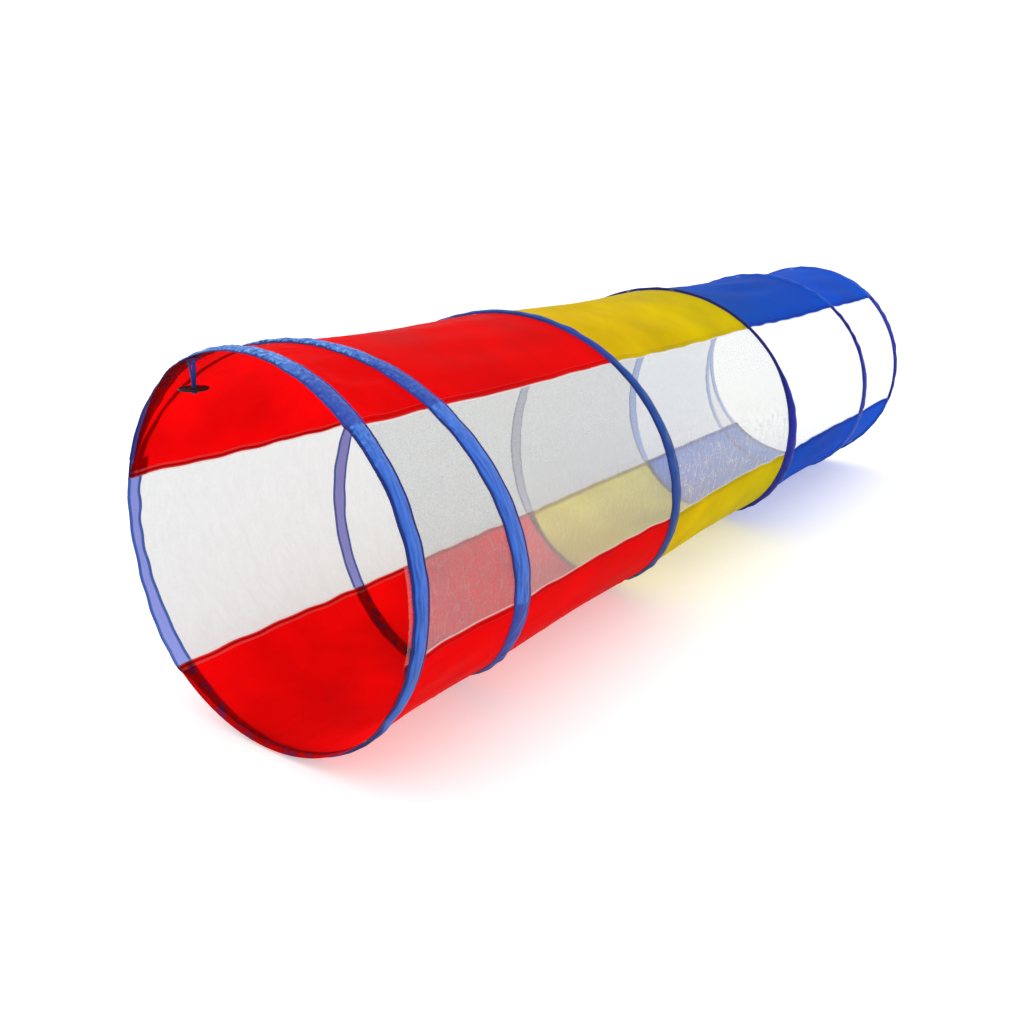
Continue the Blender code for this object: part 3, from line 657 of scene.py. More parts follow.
def build_window(strip, label, start, end, sizes):
    """A mesh window: one thin sheet whose long edges are tucked into the panels' hems."""
    tuck = np.array([inset for inset in HEM_INSETS if inset <= TUCKED_MESH])
    low_tuck = start - arc_angle(tuck[::-1])
    high_tuck = end + arc_angle(tuck)
    count = round(float(arc_length(end - start)) / sizes.row_spacing)
    rows = np.concatenate([low_tuck, np.linspace(start, end, count + 1)[1:-1], high_tuck])
    x = strip_columns(strip, rows, sizes.column_spacing)
    angle = rows[:, None] + seam_wander(x, rows, start, end, sizes)
    around = arc_length(angle)
    room = arc_length(np.minimum(rows - start, end - rows))[:, None] + 0 * x
    near, far = wire_edges(strip, rows[:, None])
    wire_room = np.minimum(x - near, far - x) - CASING_WIDTH / 2
    free = smooth_step((room - 0.004) / 0.03) * smooth_step((wire_room - 0.005) / 0.02)
    ripple = RIPPLE_HEIGHT * free * waves(around, x, *RIPPLES, 100 * strip + 7)
    lift = relief(arc_length(angle + FULL_TURN * strip), x, near, far, sizes)
    radius = CLOTH_RADIUS - sizes.hem_depth / 2 + lift + ripple
    rim_room = x - NEAR_MOUTH + RIM_OVERHANG if strip == 0 else 1 + 0 * x
    fold_room = np.minimum(room / FOLDED_MESH, rim_room / (RIM_SHOWING + RIM_OVERHANG))
    down = from_top(rows)[:, None] + 0 * x
    fields = {
        "fold_room": fold_room,
        "casing_room": casing_room(x, strip, rows, sizes),
        # creases in the lower mesh, drawn denser and whiter: partly denser mesh, partly a painted
        # highlight on their ridges
        "crinkle": (1.0 if strip == 2 else 0.22) * smooth_step((down - 66) / 22),
        "veil": WINDOW_VEILS[strip] * smooth_step((down - 58) / 34),
        # the last windows get a paler mesh: painted light
        "pale": np.full(x.shape, 1.0 if strip > 2 else 0.0),
    }
    uv = np.stack([around, x], axis=-1)
    name = f"strip_{strip + 1}_{label}_mesh"
    thing = mesh_object(name, tube_point(x, radius, angle), grid_faces(*x.shape), uv, fields)
    give_material(thing, "sheer_mesh", paint_mesh)
    dress_strip(thing, strip, f"strip_{strip + 1}_{label}_window")
    declare_cloth(strip, rows[0], rows[-1])


def declare_cloth(strip, start, end):
    """Work out the flat size and area of a piece's cut; nothing uses them."""
    flat, area = cut_size(strip, start, end)


def dress_strip(thing, strip, node):
    """Ride a piece of a strip on its body, in place of its CAD node."""
    ride_and_fold(thing, STRIP_BODIES[strip], node)


def ride_and_fold(thing, body, *nodes):
    """Ride a piece on a turn's body with a mesh of its own, and hide the CAD nodes that it replaces.
    """
    if nodes:
        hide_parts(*nodes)
    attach(thing, body)
    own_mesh(thing)


def ride_rigid(thing, body, slot, *nodes):
    """Ride a piece on a body as it is, in place of CAD nodes."""
    if nodes:
        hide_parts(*nodes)
    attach(thing, body)


def gathered(angle):
    """How strongly a casing is gathered: most over the top of the near mouth and first turn."""
    angle = np.asarray(angle, float)
    at_top = np.exp(-(((from_top(angle) - 8) / 38) ** 2))
    first_turns = smooth_step((500 - angle) / 250)
    slow = 0.5 + 0.5 * np.tanh(waves(arc_length(angle), 0, 0.21, 1, 5))
    return 0.06 + first_turns * (0.12 * slow + 0.9 * at_top)


def casing_tone(angle):
    """The tone of a casing along the wire: 0 at first, 1 from the second turn, 2 from the third."""
    return smooth_step((angle - 330) / 170) + smooth_step((angle - 730) / 120)


def over_blue(angle):
    """1 where a casing lies over the blue panels, and 0 over the mesh and the other panels."""
    turned = angle % FULL_TURN
    top = smooth_step((TOP_END + 1 - turned) / 2)
    bottom = band(turned, HALF_TURN - 1, 2, BOTTOM_END + 1, 2)
    return (top + bottom) * smooth_step((angle - 1070) / 20)


def over_red(angle):
    """1 where a casing gets a painted shade over the red panels, beside and under the tunnel.

    It is also 1 where the near mouth's casing stands past the cloth.
    """
    top = band(from_top(angle), 12, 18, TOP_END + START_ANGLE + 0.5, 1.0)
    bottom = band(angle, HALF_TURN - 0.5, 1.0, BOTTOM_END, 2)
    past_cloth = rim_lift(angle) * smooth_step(-angle / 2)
    return np.maximum((top + bottom) * smooth_step((520 - angle) / 20), past_cloth)


def half_widths(angle, sizes):
    """The room of a casing to the left and right of its wire.

    It is half the casing's width times its fullness, or the way to the mouth's rim, or to the
    line halfway to the next turn where that is nearer.  Where the casing is gathered its
    edges wave.
    """
    here = wire_x(angle)
    full = np.interp(angle, FULLNESS_ANGLES, FULLNESS_SHARES)
    around = arc_length(angle)
    ruffle = EDGE_WAVES * gathered(angle)
    left_wave = ruffle * waves(around, 0, sizes.gather_length, 1, 31)
    right_wave = ruffle * waves(around, 0, sizes.gather_length, 1, 32)
    left_bend = LEFT_BENDS * waves(around, 0, BEND_LENGTH, 1, 34)
    right_bend = RIGHT_BENDS * waves(around, 0, BEND_LENGTH, 1, 35)
    half = full * CASING_WIDTH / 2
    before = np.abs(here - wire_x(angle - FULL_TURN)) / 2 - GAP / 2
    after = np.abs(wire_x(angle + FULL_TURN) - here) / 2 - GAP / 2
    rim = RIM_INSET + (RIM_SHOWING - RIM_INSET) * rim_bulge(angle)
    mouth = here - NEAR_MOUTH - rim - RIM_BACK * rim_back(angle)
    reach = np.maximum(1.15 * half, mouth * smooth_step((angle + 75) / 12))
    left = np.where(angle < 0, np.minimum(reach, mouth), np.minimum(half, before))
    right = np.minimum(half, np.where(angle > WIRE_END, FAR_MOUTH - here - rim, after))
    return left + left_bend - np.abs(left_wave), right + right_bend - np.abs(right_wave)


def build_casing(name, start, end, spacing, sizes):
    """A casing: a flat-bottomed section carried along the wire.

    Across, its places are cosine-spaced from edge to edge.  Its height is the flange's
    thickness with a round rim, then a quarter sine up to a rounded crown over the wire.  The
    gathers are ridges across it whose phase wanders along the wire.
    """
    rows = max(8, round(float(arc_length(end - start)) / spacing))
    angle = np.linspace(start + arc_angle(GAP / 2), end - arc_angle(GAP / 2), rows)
    left, right = half_widths(angle, sizes)
    across = -np.cos(np.linspace(0, math.pi, 2 * CASING_COLUMNS + 1))[None, :]
    half = np.where(across < 0, left[:, None], right[:, None])
    offset = across * half
    room = half - np.abs(offset)
    flange = np.minimum(sizes.flange_width, 0.22 * half)
    loose = np.interp(angle, LOOSE_ANGLES, LOOSE_HEIGHTS)[:, None]
    crown = CASING_TOP - CASING_BASE - sizes.flange_cloth + loose
    rise = np.clip((room - flange) / np.maximum(half - flange - 0.0012, 0.0005), 0, 1)
    bulge = np.sin(0.5 * math.pi * rise) ** 0.9
    rim = np.sqrt(np.clip(room / EDGE_ROUNDING, 0, 1))
    groove = GROOVE_DEPTH * np.exp(-(((room - flange) / GROOVE_WIDTH) ** 2)) * (half > 0.008)
    around = arc_length(angle)[:, None]
    drift = waves(around, offset, 0.05, 0.05, round(start) + 1000)
    phase = 2 * math.pi * (around + 0.3 * offset) / sizes.gather_length + 2.2 * drift
    ridge = np.maximum(0, np.cos(phase)) ** 1.5 - 0.3
    strength = gathered(angle)[:, None]
    shape = 0.45 + 0.55 * np.exp(-(((room - 1.3 * flange) / 0.003) ** 2))
    gathers = sizes.gather_height * strength * ridge * shape * smooth_step(room / 0.002)
    slow = waves(around, offset, 0.035, 0.02, round(start) + 1001) * smooth_step(room / 0.004)
    height = sizes.flange_cloth * (0.3 + 0.7 * rim) + crown * bulge - groove + gathers
    height = np.maximum(height + SLOW_HEIGHT * slow * bulge, THINNEST_CLOTH)
    angle = angle[:, None]
    fields = {
        "gather": np.clip((strength - 0.25) / 0.6, 0, 1),
        "far_tone": casing_tone(angle),
        "over_blue": over_blue(angle),
        "over_red": over_red(angle),
    }
    x = wire_x(angle) + offset
    kind = "near" if end < LAST_NEAR_LINING else "far"
    return lined_ribbon(name, angle, x, offset, height, room, fields, CASING_LINING_STEP, kind)


def lined_ribbon(name, angle, x, offset, height, room, fields, step, kind):
    """A closed section carried along the wire: its outside, and under it a flat lining.

    The outside lies at a height over the cloth.  The lining goes back below it with one column
    for every few of the outside's.
    """
    lining = (slice(None), slice(None, None, -step))
    outside = tube_point(x, CASING_BASE + height, angle)
    inside = tube_point(x[lining], CASING_BASE + LINING_LIFT, angle)
    points = above_ground(np.concatenate([outside, inside], axis=1))
    shape = points.shape[:2]
    uv = np.stack([arc_length(angle) + 0 * offset, offset], axis=-1)
    uv = np.concatenate([uv, uv[lining]], axis=1)
    fields = {label: np.broadcast_to(values, shape) for label, values in fields.items()}
    fields["edge_room"] = np.concatenate([room, room[lining]], axis=1)
    thing = mesh_object(name, points, grid_faces(*shape, wrap=True, caps=True), uv, fields)
    line_casing(thing, angle[:, 0], shape[1], x.shape[1], kind)
    return thing


def line_casing(thing, angle, width, outer, kind):
    """Give a casing its cloth, and its lining on the inner faces that lie over the windows."""
    colours = bpy.context.scene.tunnel_colours
    base = colours.lining if kind == "near" else colours.far_lining
    give_material(thing, "casing_cloth", paint_casing)
    give_material(thing, f"{kind}_casing_lining", paint_lining, base, *LINING_LIGHTS[kind])
    turned = angle[:-1, None] % FULL_TURN
    window = (turned > BOTTOM_END) | ((turned > TOP_END) & (turned < HALF_TURN))
    column = np.arange(width)
    inside = (window & (column >= outer) & (column < width - 1)).ravel()
    index = np.concatenate([inside, [0, 0]]).astype(np.int32)
    thing.data.polygons.foreach_set("material_index", index)


def build_cover(name, start, pair, body, node, sizes):
    """The patch over a ferrule: a low bump over both wires with a flat edge all round."""
    angle = np.linspace(start + arc_angle(GAP), start + JUNCTION_SPAN - arc_angle(GAP), COVER_ROWS)
    angle = angle[:, None]
    columns = np.linspace(-1, 1, COVER_COLUMNS)[None, :]
    half = (pair[1] - pair[0]) / 2 + CASING_WIDTH / 2
    mouth_half = half - (RIM_BACK if start == 0 else 0)
    offset = np.where(columns < 0, mouth_half, half) * columns + 0 * angle
    room = (1 - np.abs(columns)) * half + 0 * angle
    top = WIRE_CENTRE + COVER_RISE - CASING_BASE - sizes.flange_cloth
    rise = smooth_step(room / 0.011 - 0.25)
    end_room = arc_length(np.minimum(angle - angle[0], angle[-1] - angle))
    height = sizes.flange_cloth + top * rise * (0.8 + 0.2 * smooth_step(end_room / 0.004))
    fields = {
        "gather": 0.2,
        "far_tone": casing_tone(start),
        "over_blue": 0.4 if start > 0 else 0.0,
        "over_red": 0.0,
    }
    x = (pair[0] + pair[1]) / 2 + offset
    kind = "far" if start > 0 else "near"
    thing = lined_ribbon(name, angle, x, offset, height, room, fields, COVER_LINING_STEP, kind)
    ride_and_fold(thing, body, node)


def swept(path, across, out, profile):
    """A profile carried along a path: at each point, its two axes times the profile's places."""
    return (
        path[:, None, :]
        + profile[None, :, :1] * across[:, None, :]
        + profile[None, :, 1:] * out[:, None, :]
    )


def build_tube(name, angle):
    """A stretch of the wire: a circle carried along its course, with closed ends."""
    centre = tube_point(wire_x(angle), WIRE_CENTRE, angle)
    ahead = np.gradient(centre, axis=0)
    ahead /= np.linalg.norm(ahead, axis=1, keepdims=True)
    outward = tube_point(0 * angle, 1.0, angle) - (0, 0, AXIS_HEIGHT)
    turned = np.arange(WIRE_SIDES) * (2 * math.pi / WIRE_SIDES)
    circle = WIRE_RADIUS * np.stack([np.cos(turned), np.sin(turned)], axis=-1)
    points = swept(centre, np.cross(ahead, outward), outward, circle)
    thing = mesh_object(name, points, grid_faces(len(angle), WIRE_SIDES, wrap=True, caps=True))
    give_material(thing, "drawn_steel", paint_steel)
    return thing


def build_ferrule(name, body, node):
    """A ferrule that rides with the wire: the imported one's own flat faces, its doubles merged."""
    merged = bmesh.new()
    merged.from_mesh(frame["nodes"][node].data)
    bmesh.ops.remove_doubles(merged, verts=merged.verts, dist=MERGE_DISTANCE)
    merged.verts.index_update()
    points = np.array([tuple(point.co) for point in merged.verts])
    faces = [[point.index for point in face.verts] for face in merged.faces]
    merged.free()
    thing = mesh_object(name, points, faces)
    thing.data.shade_flat()
    give_material(thing, "drawn_steel", paint_steel)
    ride_and_fold(thing, body, node)


def rounded_flat(width, thickness, count=5):
    """The outline of a flat ribbon: two half circles joined by straight sides."""
    radius = thickness / 2
    turned = np.linspace(-math.pi / 2, math.pi / 2, count)
    right = np.stack([width / 2 - radius + radius * np.cos(turned), radius * np.sin(turned)], axis=-1)
    return np.concatenate([right, -right])


def build_strand(name, path, across, nodes):
    """A strand of the loop: a flat rounded outline carried along a path of points."""
    ahead = np.gradient(path, axis=0)
    ahead /= np.linalg.norm(ahead, axis=1, keepdims=True)
    out = np.cross(ahead, across)
    out /= np.linalg.norm(out, axis=1, keepdims=True)
    side = np.cross(out, ahead)
    profile = rounded_flat(STRAND_WIDTH, STRAND_THICKNESS)
    points = swept(path, side, out, profile)
    along = np.concatenate([[0], np.cumsum(np.linalg.norm(np.diff(path, axis=0), axis=1))])
    uv = np.stack(np.broadcast_arrays(profile[None, :, 0], along[:, None]), axis=-1)
    thing = mesh_object(name, points, grid_faces(len(path), len(profile), wrap=True, caps=True), uv)
    give_material(thing, "navy_ribbon", paint_ribbon)
    ride_rigid(thing, "closure", "blue_ribbon", *nodes)


def build_closure():
    """The stitched tab, the two strands of the ribbon loop, its knot and the disc.

    The strands are cubics from the tab to the neck over the disc.  The disc is a surface
    between the outline of its slot and its round edge, whose height follows a rounded rim.
    """
    pivot = np.array(JOINTS["closure_swing"]["pos_m"])
    tangent = np.array(JOINTS["closure_swing"]["axis"])
    tangent /= np.linalg.norm(tangent)
    outward = np.cross((1, 0, 0), tangent)
    outward *= np.sign(outward[2])
    tab_low, tab_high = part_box("closure_tab")
    disc_low, disc_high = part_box("closure_disc")
    disc_middle = np.array((disc_low + disc_high) / 2)
    disc_radius = (disc_high.x - disc_low.x) / 2
    disc_half = (disc_high.z - disc_low.z) / 2
    build_tab(pivot, tangent, outward, tab_low.x, tab_high.x)
    neck = disc_middle + (0, 0, disc_half + NECK_RISE)
    under = disc_middle - (0, 0, disc_half + KNOT_DROP)
    share = np.linspace(0, 1, 25)[:, None]
    for index, side in enumerate((-1, 1)):
        pinch = np.array((0, side * STRAND_PINCH, 0))
        top = pivot + side * STRAND_SPREAD * tangent - STRAND_SINK * outward
        low = neck + pinch
        path = top * (1 - share) + low * share
        path = path + side * np.array(STRAND_BOW) * np.sin(math.pi * share)
        tail = low + (under + pinch - low) * np.linspace(0.1, 1, 9)[:, None]
        path = np.concatenate([path, tail])
        twist = STRAND_TWIST * side * np.sin(math.pi * np.linspace(0, 1, len(path)))[:, None]
        across = np.cos(twist) * np.array((0, 1, 0)) + np.sin(twist) * np.array((1, 0, 0))
        nodes = ("closure_loop",) if index == 0 else ()
        build_strand(f"closure_strand_{index + 1}", path, across, nodes)
    build_knot(under)
    build_disc(disc_middle, disc_radius, disc_half)


def full_circle(sides):
    """The angles, in radians, of points all round a circle."""
    return np.linspace(0, 2 * math.pi, sides + 1)[:-1]


def build_tab(pivot, tangent, outward, start, end):
    """The tab: a ribbon doubled over the mouth's edge, a flattened loop carried sideways."""
    side = np.linspace(-TAB_HALF, TAB_HALF, 21)
    turned = full_circle(SMALL_SIDES)
    middle = (start + end) / 2
    reach = (end - start) / 2
    flat_x = middle + reach * np.sign(np.cos(turned)) * np.abs(np.cos(turned)) ** 0.35
    height = 0.5 * TAB_THICKNESS * np.sign(np.sin(turned)) * np.abs(np.sin(turned)) ** 0.6
    base = pivot + (TAB_LIFT + TAB_THICKNESS / 2) * outward
    quilt = 1 - 0.25 * np.exp(-(((np.abs(side) - 0.8 * TAB_HALF) / 0.0007) ** 2))
    points = (
        base * (0, 1, 1)
        + flat_x[None, :, None] * np.array((1, 0, 0))
        + side[:, None, None] * tangent
        + (quilt[:, None] * height[None, :])[..., None] * outward
    )
    uv = np.stack(np.broadcast_arrays(side[:, None], flat_x[None, :]), axis=-1)
    faces = grid_faces(len(side), SMALL_SIDES, wrap=True, caps=True)
    thing = mesh_object("closure_patch", points, faces, uv)
    give_material(thing, "navy_ribbon", paint_ribbon)
    ride_rigid(thing, "near_end", "blue_ribbon", "closure_tab")


def build_knot(place):
    """The knot under the disc: a rounded lump with two folds, from a squashed sphere."""
    turned = full_circle(SMALL_SIDES)[None, :]
    height = np.linspace(0.02, math.pi - 0.02, 17)[:, None]
    swell = 1 + 0.10 * np.cos(3 * turned + 4 * height) + 0.06 * np.cos(2 * turned - 5 * height)
    x = KNOT_RADII[0] * swell * np.sin(height) * np.cos(turned)
    y = KNOT_RADII[1] * swell * np.sin(height) * np.sin(turned)
    z = KNOT_RADII[2] * swell * np.cos(height) + 0 * turned - KNOT_DROP
    points = place + np.stack([x, y, z], axis=-1)
    faces = grid_faces(len(height), SMALL_SIDES, wrap=True, caps=True)
    thing = mesh_object("closure_knot", points, faces, np.stack([y, z], axis=-1))
    give_material(thing, "navy_ribbon", paint_ribbon)
    ride_rigid(thing, "closure", "blue_ribbon")


def build_disc(middle, radius, half):
    """The disc: a closed surface between the outline of its slot and its round edge."""
    turned = full_circle(DISC_SIDES)[None, :]
    slot = np.stack([SLOT_RADII[0] * np.cos(turned), SLOT_RADII[1] * np.sin(turned)], axis=-1)
    edge = np.stack([radius * np.cos(turned), radius * np.sin(turned)], axis=-1)
    share = np.concatenate([DISC_PLACES, DISC_PLACES[::-1]])
    height = half * np.concatenate([DISC_HEIGHTS, -np.array(DISC_HEIGHTS[::-1])])
    flat = slot * (1 - share[:, None, None]) + edge * share[:, None, None]
    up = np.broadcast_to(height[:, None, None], (*flat.shape[:2], 1))
    points = middle + np.concatenate([flat, up], axis=-1)
    last = (len(share) - 1) * DISC_SIDES
    step = np.arange(DISC_SIDES)
    after = (step + 1) % DISC_SIDES
    faces = grid_faces(len(share), DISC_SIDES, wrap=True)
    faces += np.stack([last + step, step, after, last + after], axis=-1).tolist()
    thing = mesh_object("closure_button", points, faces)
    give_material(thing, "black_plastic", paint_disc)
    ride_rigid(thing, "closure", "black_disc", "closure_disc")


def give_material(thing, name, paint, *values):
    """Give a piece the material of that name, which is painted when it is first asked for."""
    material = bpy.data.materials.get(name)
    if material is None:
        material = bpy.data.materials.new(name)
        material.use_nodes = True
        paint(material.node_tree, *values)
    thing.data.materials.append(material)


def set_inputs(tree, node, inputs):
    """Set a node's inputs, or link those whose value comes from another node."""
    for label, value in inputs.items():
        if isinstance(value, bpy.types.NodeSocket):
            tree.links.new(value, node.inputs[label])
        else:
            node.inputs[label].default_value = value


def add_node(tree, kind, inputs=None, **settings):
    """Add a shader node, and set its settings and its inputs."""
    node = tree.nodes.new(kind)
    for label, value in settings.items():
        setattr(node, label, value)
    set_inputs(tree, node, inputs or {})
    return node


def finish_shader(tree, inputs):
    """Set or link the inputs of a material's Principled shader."""
    set_inputs(tree, tree.nodes["Principled BSDF"], inputs)


def field(tree, name):
    """The value that a piece's points carry under a name."""
    return add_node(tree, "ShaderNodeAttribute", attribute_name=name).outputs["Fac"]


def cloth_place(tree):
    """The place on the flat cloth, in metres."""
    return add_node(tree, "ShaderNodeUVMap", uv_map="cloth").outputs["UV"]


def parts_of(tree, place):
    """The two parts of a place on the flat cloth: along the rows and across them."""
    return add_node(tree, "ShaderNodeSeparateXYZ", {0: place}).outputs


def noise(tree, place, scale, detail, distortion=0.0):
    """Soft noise between 0 and 1 at a place, with its scale in blotches per metre."""
    inputs = {"Vector": place, "Scale": scale, "Detail": detail, "Distortion": distortion}
    return add_node(tree, "ShaderNodeTexNoise", inputs).outputs["Fac"]


def maths(tree, operation, first, second=0.0):
    """The result of a sum on two values."""
    return add_node(tree, "ShaderNodeMath", {0: first, 1: second}, operation=operation).outputs[0]


def times(tree, first, second):
    """The product of two values."""
    return maths(tree, "MULTIPLY", first, second)


def ramp(tree, value, low, high, at_low=0.0, at_high=1.0):
    """A value carried in a straight line from one range to another, and held at its ends."""
    return add_node(
        tree, "ShaderNodeMapRange",
        {"Value": value, "From Min": low, "From Max": high, "To Min": at_low, "To Max": at_high},
    ).outputs[0]


def blend(tree, share, first, second):
    """The mix of two colours."""
    ends = [end if isinstance(end, bpy.types.NodeSocket) else (*end[:3], 1.0) for end in (first, second)]
    inputs = {0: share, 6: ends[0], 7: ends[1]}
    return add_node(tree, "ShaderNodeMix", inputs, data_type="RGBA").outputs[2]


def scaled(colour, factor, lift=0.0):
    """A colour times a number, and lifted by another, up to white."""
    return tuple(min(1.0, part * factor + lift) for part in colour)


def bumped(tree, height, distance, strength):
    """The normal of a surface whose height changes by up to a distance."""
    inputs = {"Height": height, "Distance": distance, "Strength": strength}
    return add_node(tree, "ShaderNodeBump", inputs).outputs[0]


def shared_group(name, inputs, outputs, fill):
    """The node group of that name, with float sockets, filled when it is first asked for."""
    group = bpy.data.node_groups.get(name)
    if group is not None:
        return group
    group = bpy.data.node_groups.new(name, "ShaderNodeTree")
    for label in inputs:
        group.interface.new_socket(label, in_out="INPUT", socket_type="NodeSocketFloat")
    for label in outputs:
        group.interface.new_socket(label, in_out="OUTPUT", socket_type="NodeSocketFloat")
    entry = group.nodes.new("NodeGroupInput").outputs
    leave = group.nodes.new("NodeGroupOutput")
    set_inputs(group, leave, fill(group, entry))
    return group


def fill_weave(group, entry):
    """A plain weave: bumps of crossing threads, and slow changes of tone.

    The threads are two sine waves across the cloth's own flat coordinates.
    """
    place = cloth_place(group)
    parts = parts_of(group, place)
    rate = times(group, entry["Threads"], 2 * math.pi)
    warp = maths(group, "SINE", times(group, parts[0], rate))
    weft = maths(group, "SINE", times(group, parts[1], rate))
    tone = noise(group, place, 7.0, 3.0)
    crumple = noise(group, place, 60.0, 4.0)
    height = maths(group, "ADD", times(group, times(group, warp, weft), 0.12), crumple)
    return {"Tone": tone, "Height": height}


def fill_stitches(group, entry):
    """A row of stitches: dashes along a line at a distance from an edge.

    Room is the distance from the edge, Row the place of the row, Along the place along it, and
    Length the length of a stitch with its gap.
    """
    off = maths(group, "SUBTRACT", entry["Room"], entry["Row"])
    line = ramp(group, maths(group, "ABSOLUTE", off), 0.00025, 0.00055, 1.0, 0.0)
    turns = maths(group, "DIVIDE", entry["Along"], entry["Length"])
    wave = maths(group, "SINE", times(group, turns, 2 * math.pi))
    return {"Mask": times(group, line, ramp(group, wave, -0.75, -0.45))}


def fill_streaks(group, entry):
    """Streaks of noise: Along and Across are how many there are in a metre each way."""
    scale = add_node(group, "ShaderNodeCombineXYZ", {0: entry["Along"], 1: entry["Across"], 2: 1.0})
    inputs = {"Vector": cloth_place(group), "Scale": scale.outputs[0]}
    stretched = add_node(group, "ShaderNodeMapping", inputs).outputs[0]
    return {"Streak": noise(group, stretched, 1.0, 3.0)}


def weave(tree):
    """The weave of the cloth in a material: its tone and its height."""
    group = shared_group("plain weave", ("Threads",), ("Tone", "Height"), fill_weave)
    inputs = {"Threads": THREADS_PER_METRE}
    return add_node(tree, "ShaderNodeGroup", inputs, node_tree=group).outputs


def stitches(tree, room, row, along):
    """The mask of a row of stitches in a material."""
    sockets = ("Room", "Row", "Along", "Length")
    group = shared_group("row of stitches", sockets, ("Mask",), fill_stitches)
    inputs = dict(zip(sockets, (room, row, along, STITCH_LENGTH)))
    return add_node(tree, "ShaderNodeGroup", inputs, node_tree=group).outputs["Mask"]


def streaks(tree):
    """The long streaks of a casing's gathers, drawn as painted light and shade."""
    sockets = ("Along", "Across")
    group = shared_group("gathered streaks", sockets, ("Streak",), fill_streaks)
    inputs = dict(zip(sockets, STREAKS_PER_METRE))
    return add_node(tree, "ShaderNodeGroup", inputs, node_tree=group).outputs["Streak"]


def mix_shaders(tree, share, first, second):
    """The mix of two shaders."""
    return add_node(tree, "ShaderNodeMixShader", {0: share, 1: first, 2: second}).outputs[0]


def let_light_through(tree, colour, share):
    """The Principled shader mixed with a translucent one of the same colour."""
    through = add_node(tree, "ShaderNodeBsdfTranslucent", {"Color": colour}).outputs[0]
    return mix_shaders(tree, share, tree.nodes["Principled BSDF"].outputs[0], through)


def show_surface(tree, shader):
    """Use a shader as a material's surface."""
    set_inputs(tree, tree.nodes["Material Output"], {"Surface": shader})


def paint_cloth(tree, name):
    """Thin satin cloth that lets light through, with painted light on its paler inner side and painted
    shade under a casing.
    """
    colour = tuple(getattr(bpy.context.scene.tunnel_colours, name))
    # The inner side gets a lighter copy of the colour: painted light inside the tunnel.
    inner = LIT_INNER_CLOTHS[name]
    pale = scaled(colour, 0.7, 0.25)
    place = cloth_place(tree)
    woven = weave(tree)
    room = field(tree, "seam_room")
    facing = field(tree, "facing")
    inside = add_node(tree, "ShaderNodeNewGeometry").outputs["Backfacing"]
    # The slow tone changes are partly the cloth's own, partly painted soft shade of its folds.
    soft = ramp(tree, woven["Tone"], 0.3, 0.7)
    toned = blend(tree, soft, scaled(colour, 0.80), scaled(colour, 1.08))
    lit_inner_toned = blend(tree, soft, scaled(inner, 0.74), scaled(inner, 1.08))
    painted_side_shading = blend(tree, inside, toned, lit_inner_toned)
    hem = ramp(tree, room, 0.0093, 0.0097, 1.0, 0.0)
    hem_share = times(tree, hem, ramp(tree, facing, 0.0, 1.0, 0.14, 0.5))
    hemmed = blend(tree, hem_share, painted_side_shading, scaled(colour, 0.66))
    edge = ramp(tree, room, 0.0012, 0.0026, 1.0, 0.0)
    edge_share = times(tree, edge, ramp(tree, facing, 0.0, 1.0, 0.12, 0.75))
    edged = blend(tree, edge_share, hemmed, pale)
    thread = stitches(tree, room, STITCH_ROOM, parts_of(tree, place)[1])
    sewn = blend(tree, times(tree, thread, ramp(tree, facing, 0.0, 1.0, 0.3, 0.9)), edged, pale)
    lip = times(tree, ramp(tree, room, 0.0052, 0.0062), facing)
    stitched = blend(tree, lip, sewn, scaled(colour, 0.95, 0.13))
    # Painted shade where a casing lies over the cloth: blotchy, and navy at its deepest.
    shade_blotch = noise(tree, place, 75.0, 3.0)
    shaded = times(tree, field(tree, "covered"), ramp(tree, shade_blotch, 0.36, 0.66, 0.3, 0.85))
    deepest_shade = ramp(tree, shade_blotch, 0.52, 0.6, 0.0, 0.7)
    under = blend(tree, deepest_shade, scaled(colour, 0.2, 0.004), DEEP_SHADE)
    final = blend(tree, shaded, stitched, under)
    finish_shader(tree, {
        "Base Color": final,
        "Roughness": ramp(tree, woven["Tone"], 0.3, 0.7, 0.45, 0.6),
        "Specular IOR Level": 0.02,
        "Sheen Weight": 0.06,
        "Sheen Roughness": 0.2,
        "Normal": bumped(tree, maths(tree, "ADD", woven["Height"], thread), 0.0005, 0.3),
    })
    show_surface(tree, let_light_through(tree, final, 0.6))


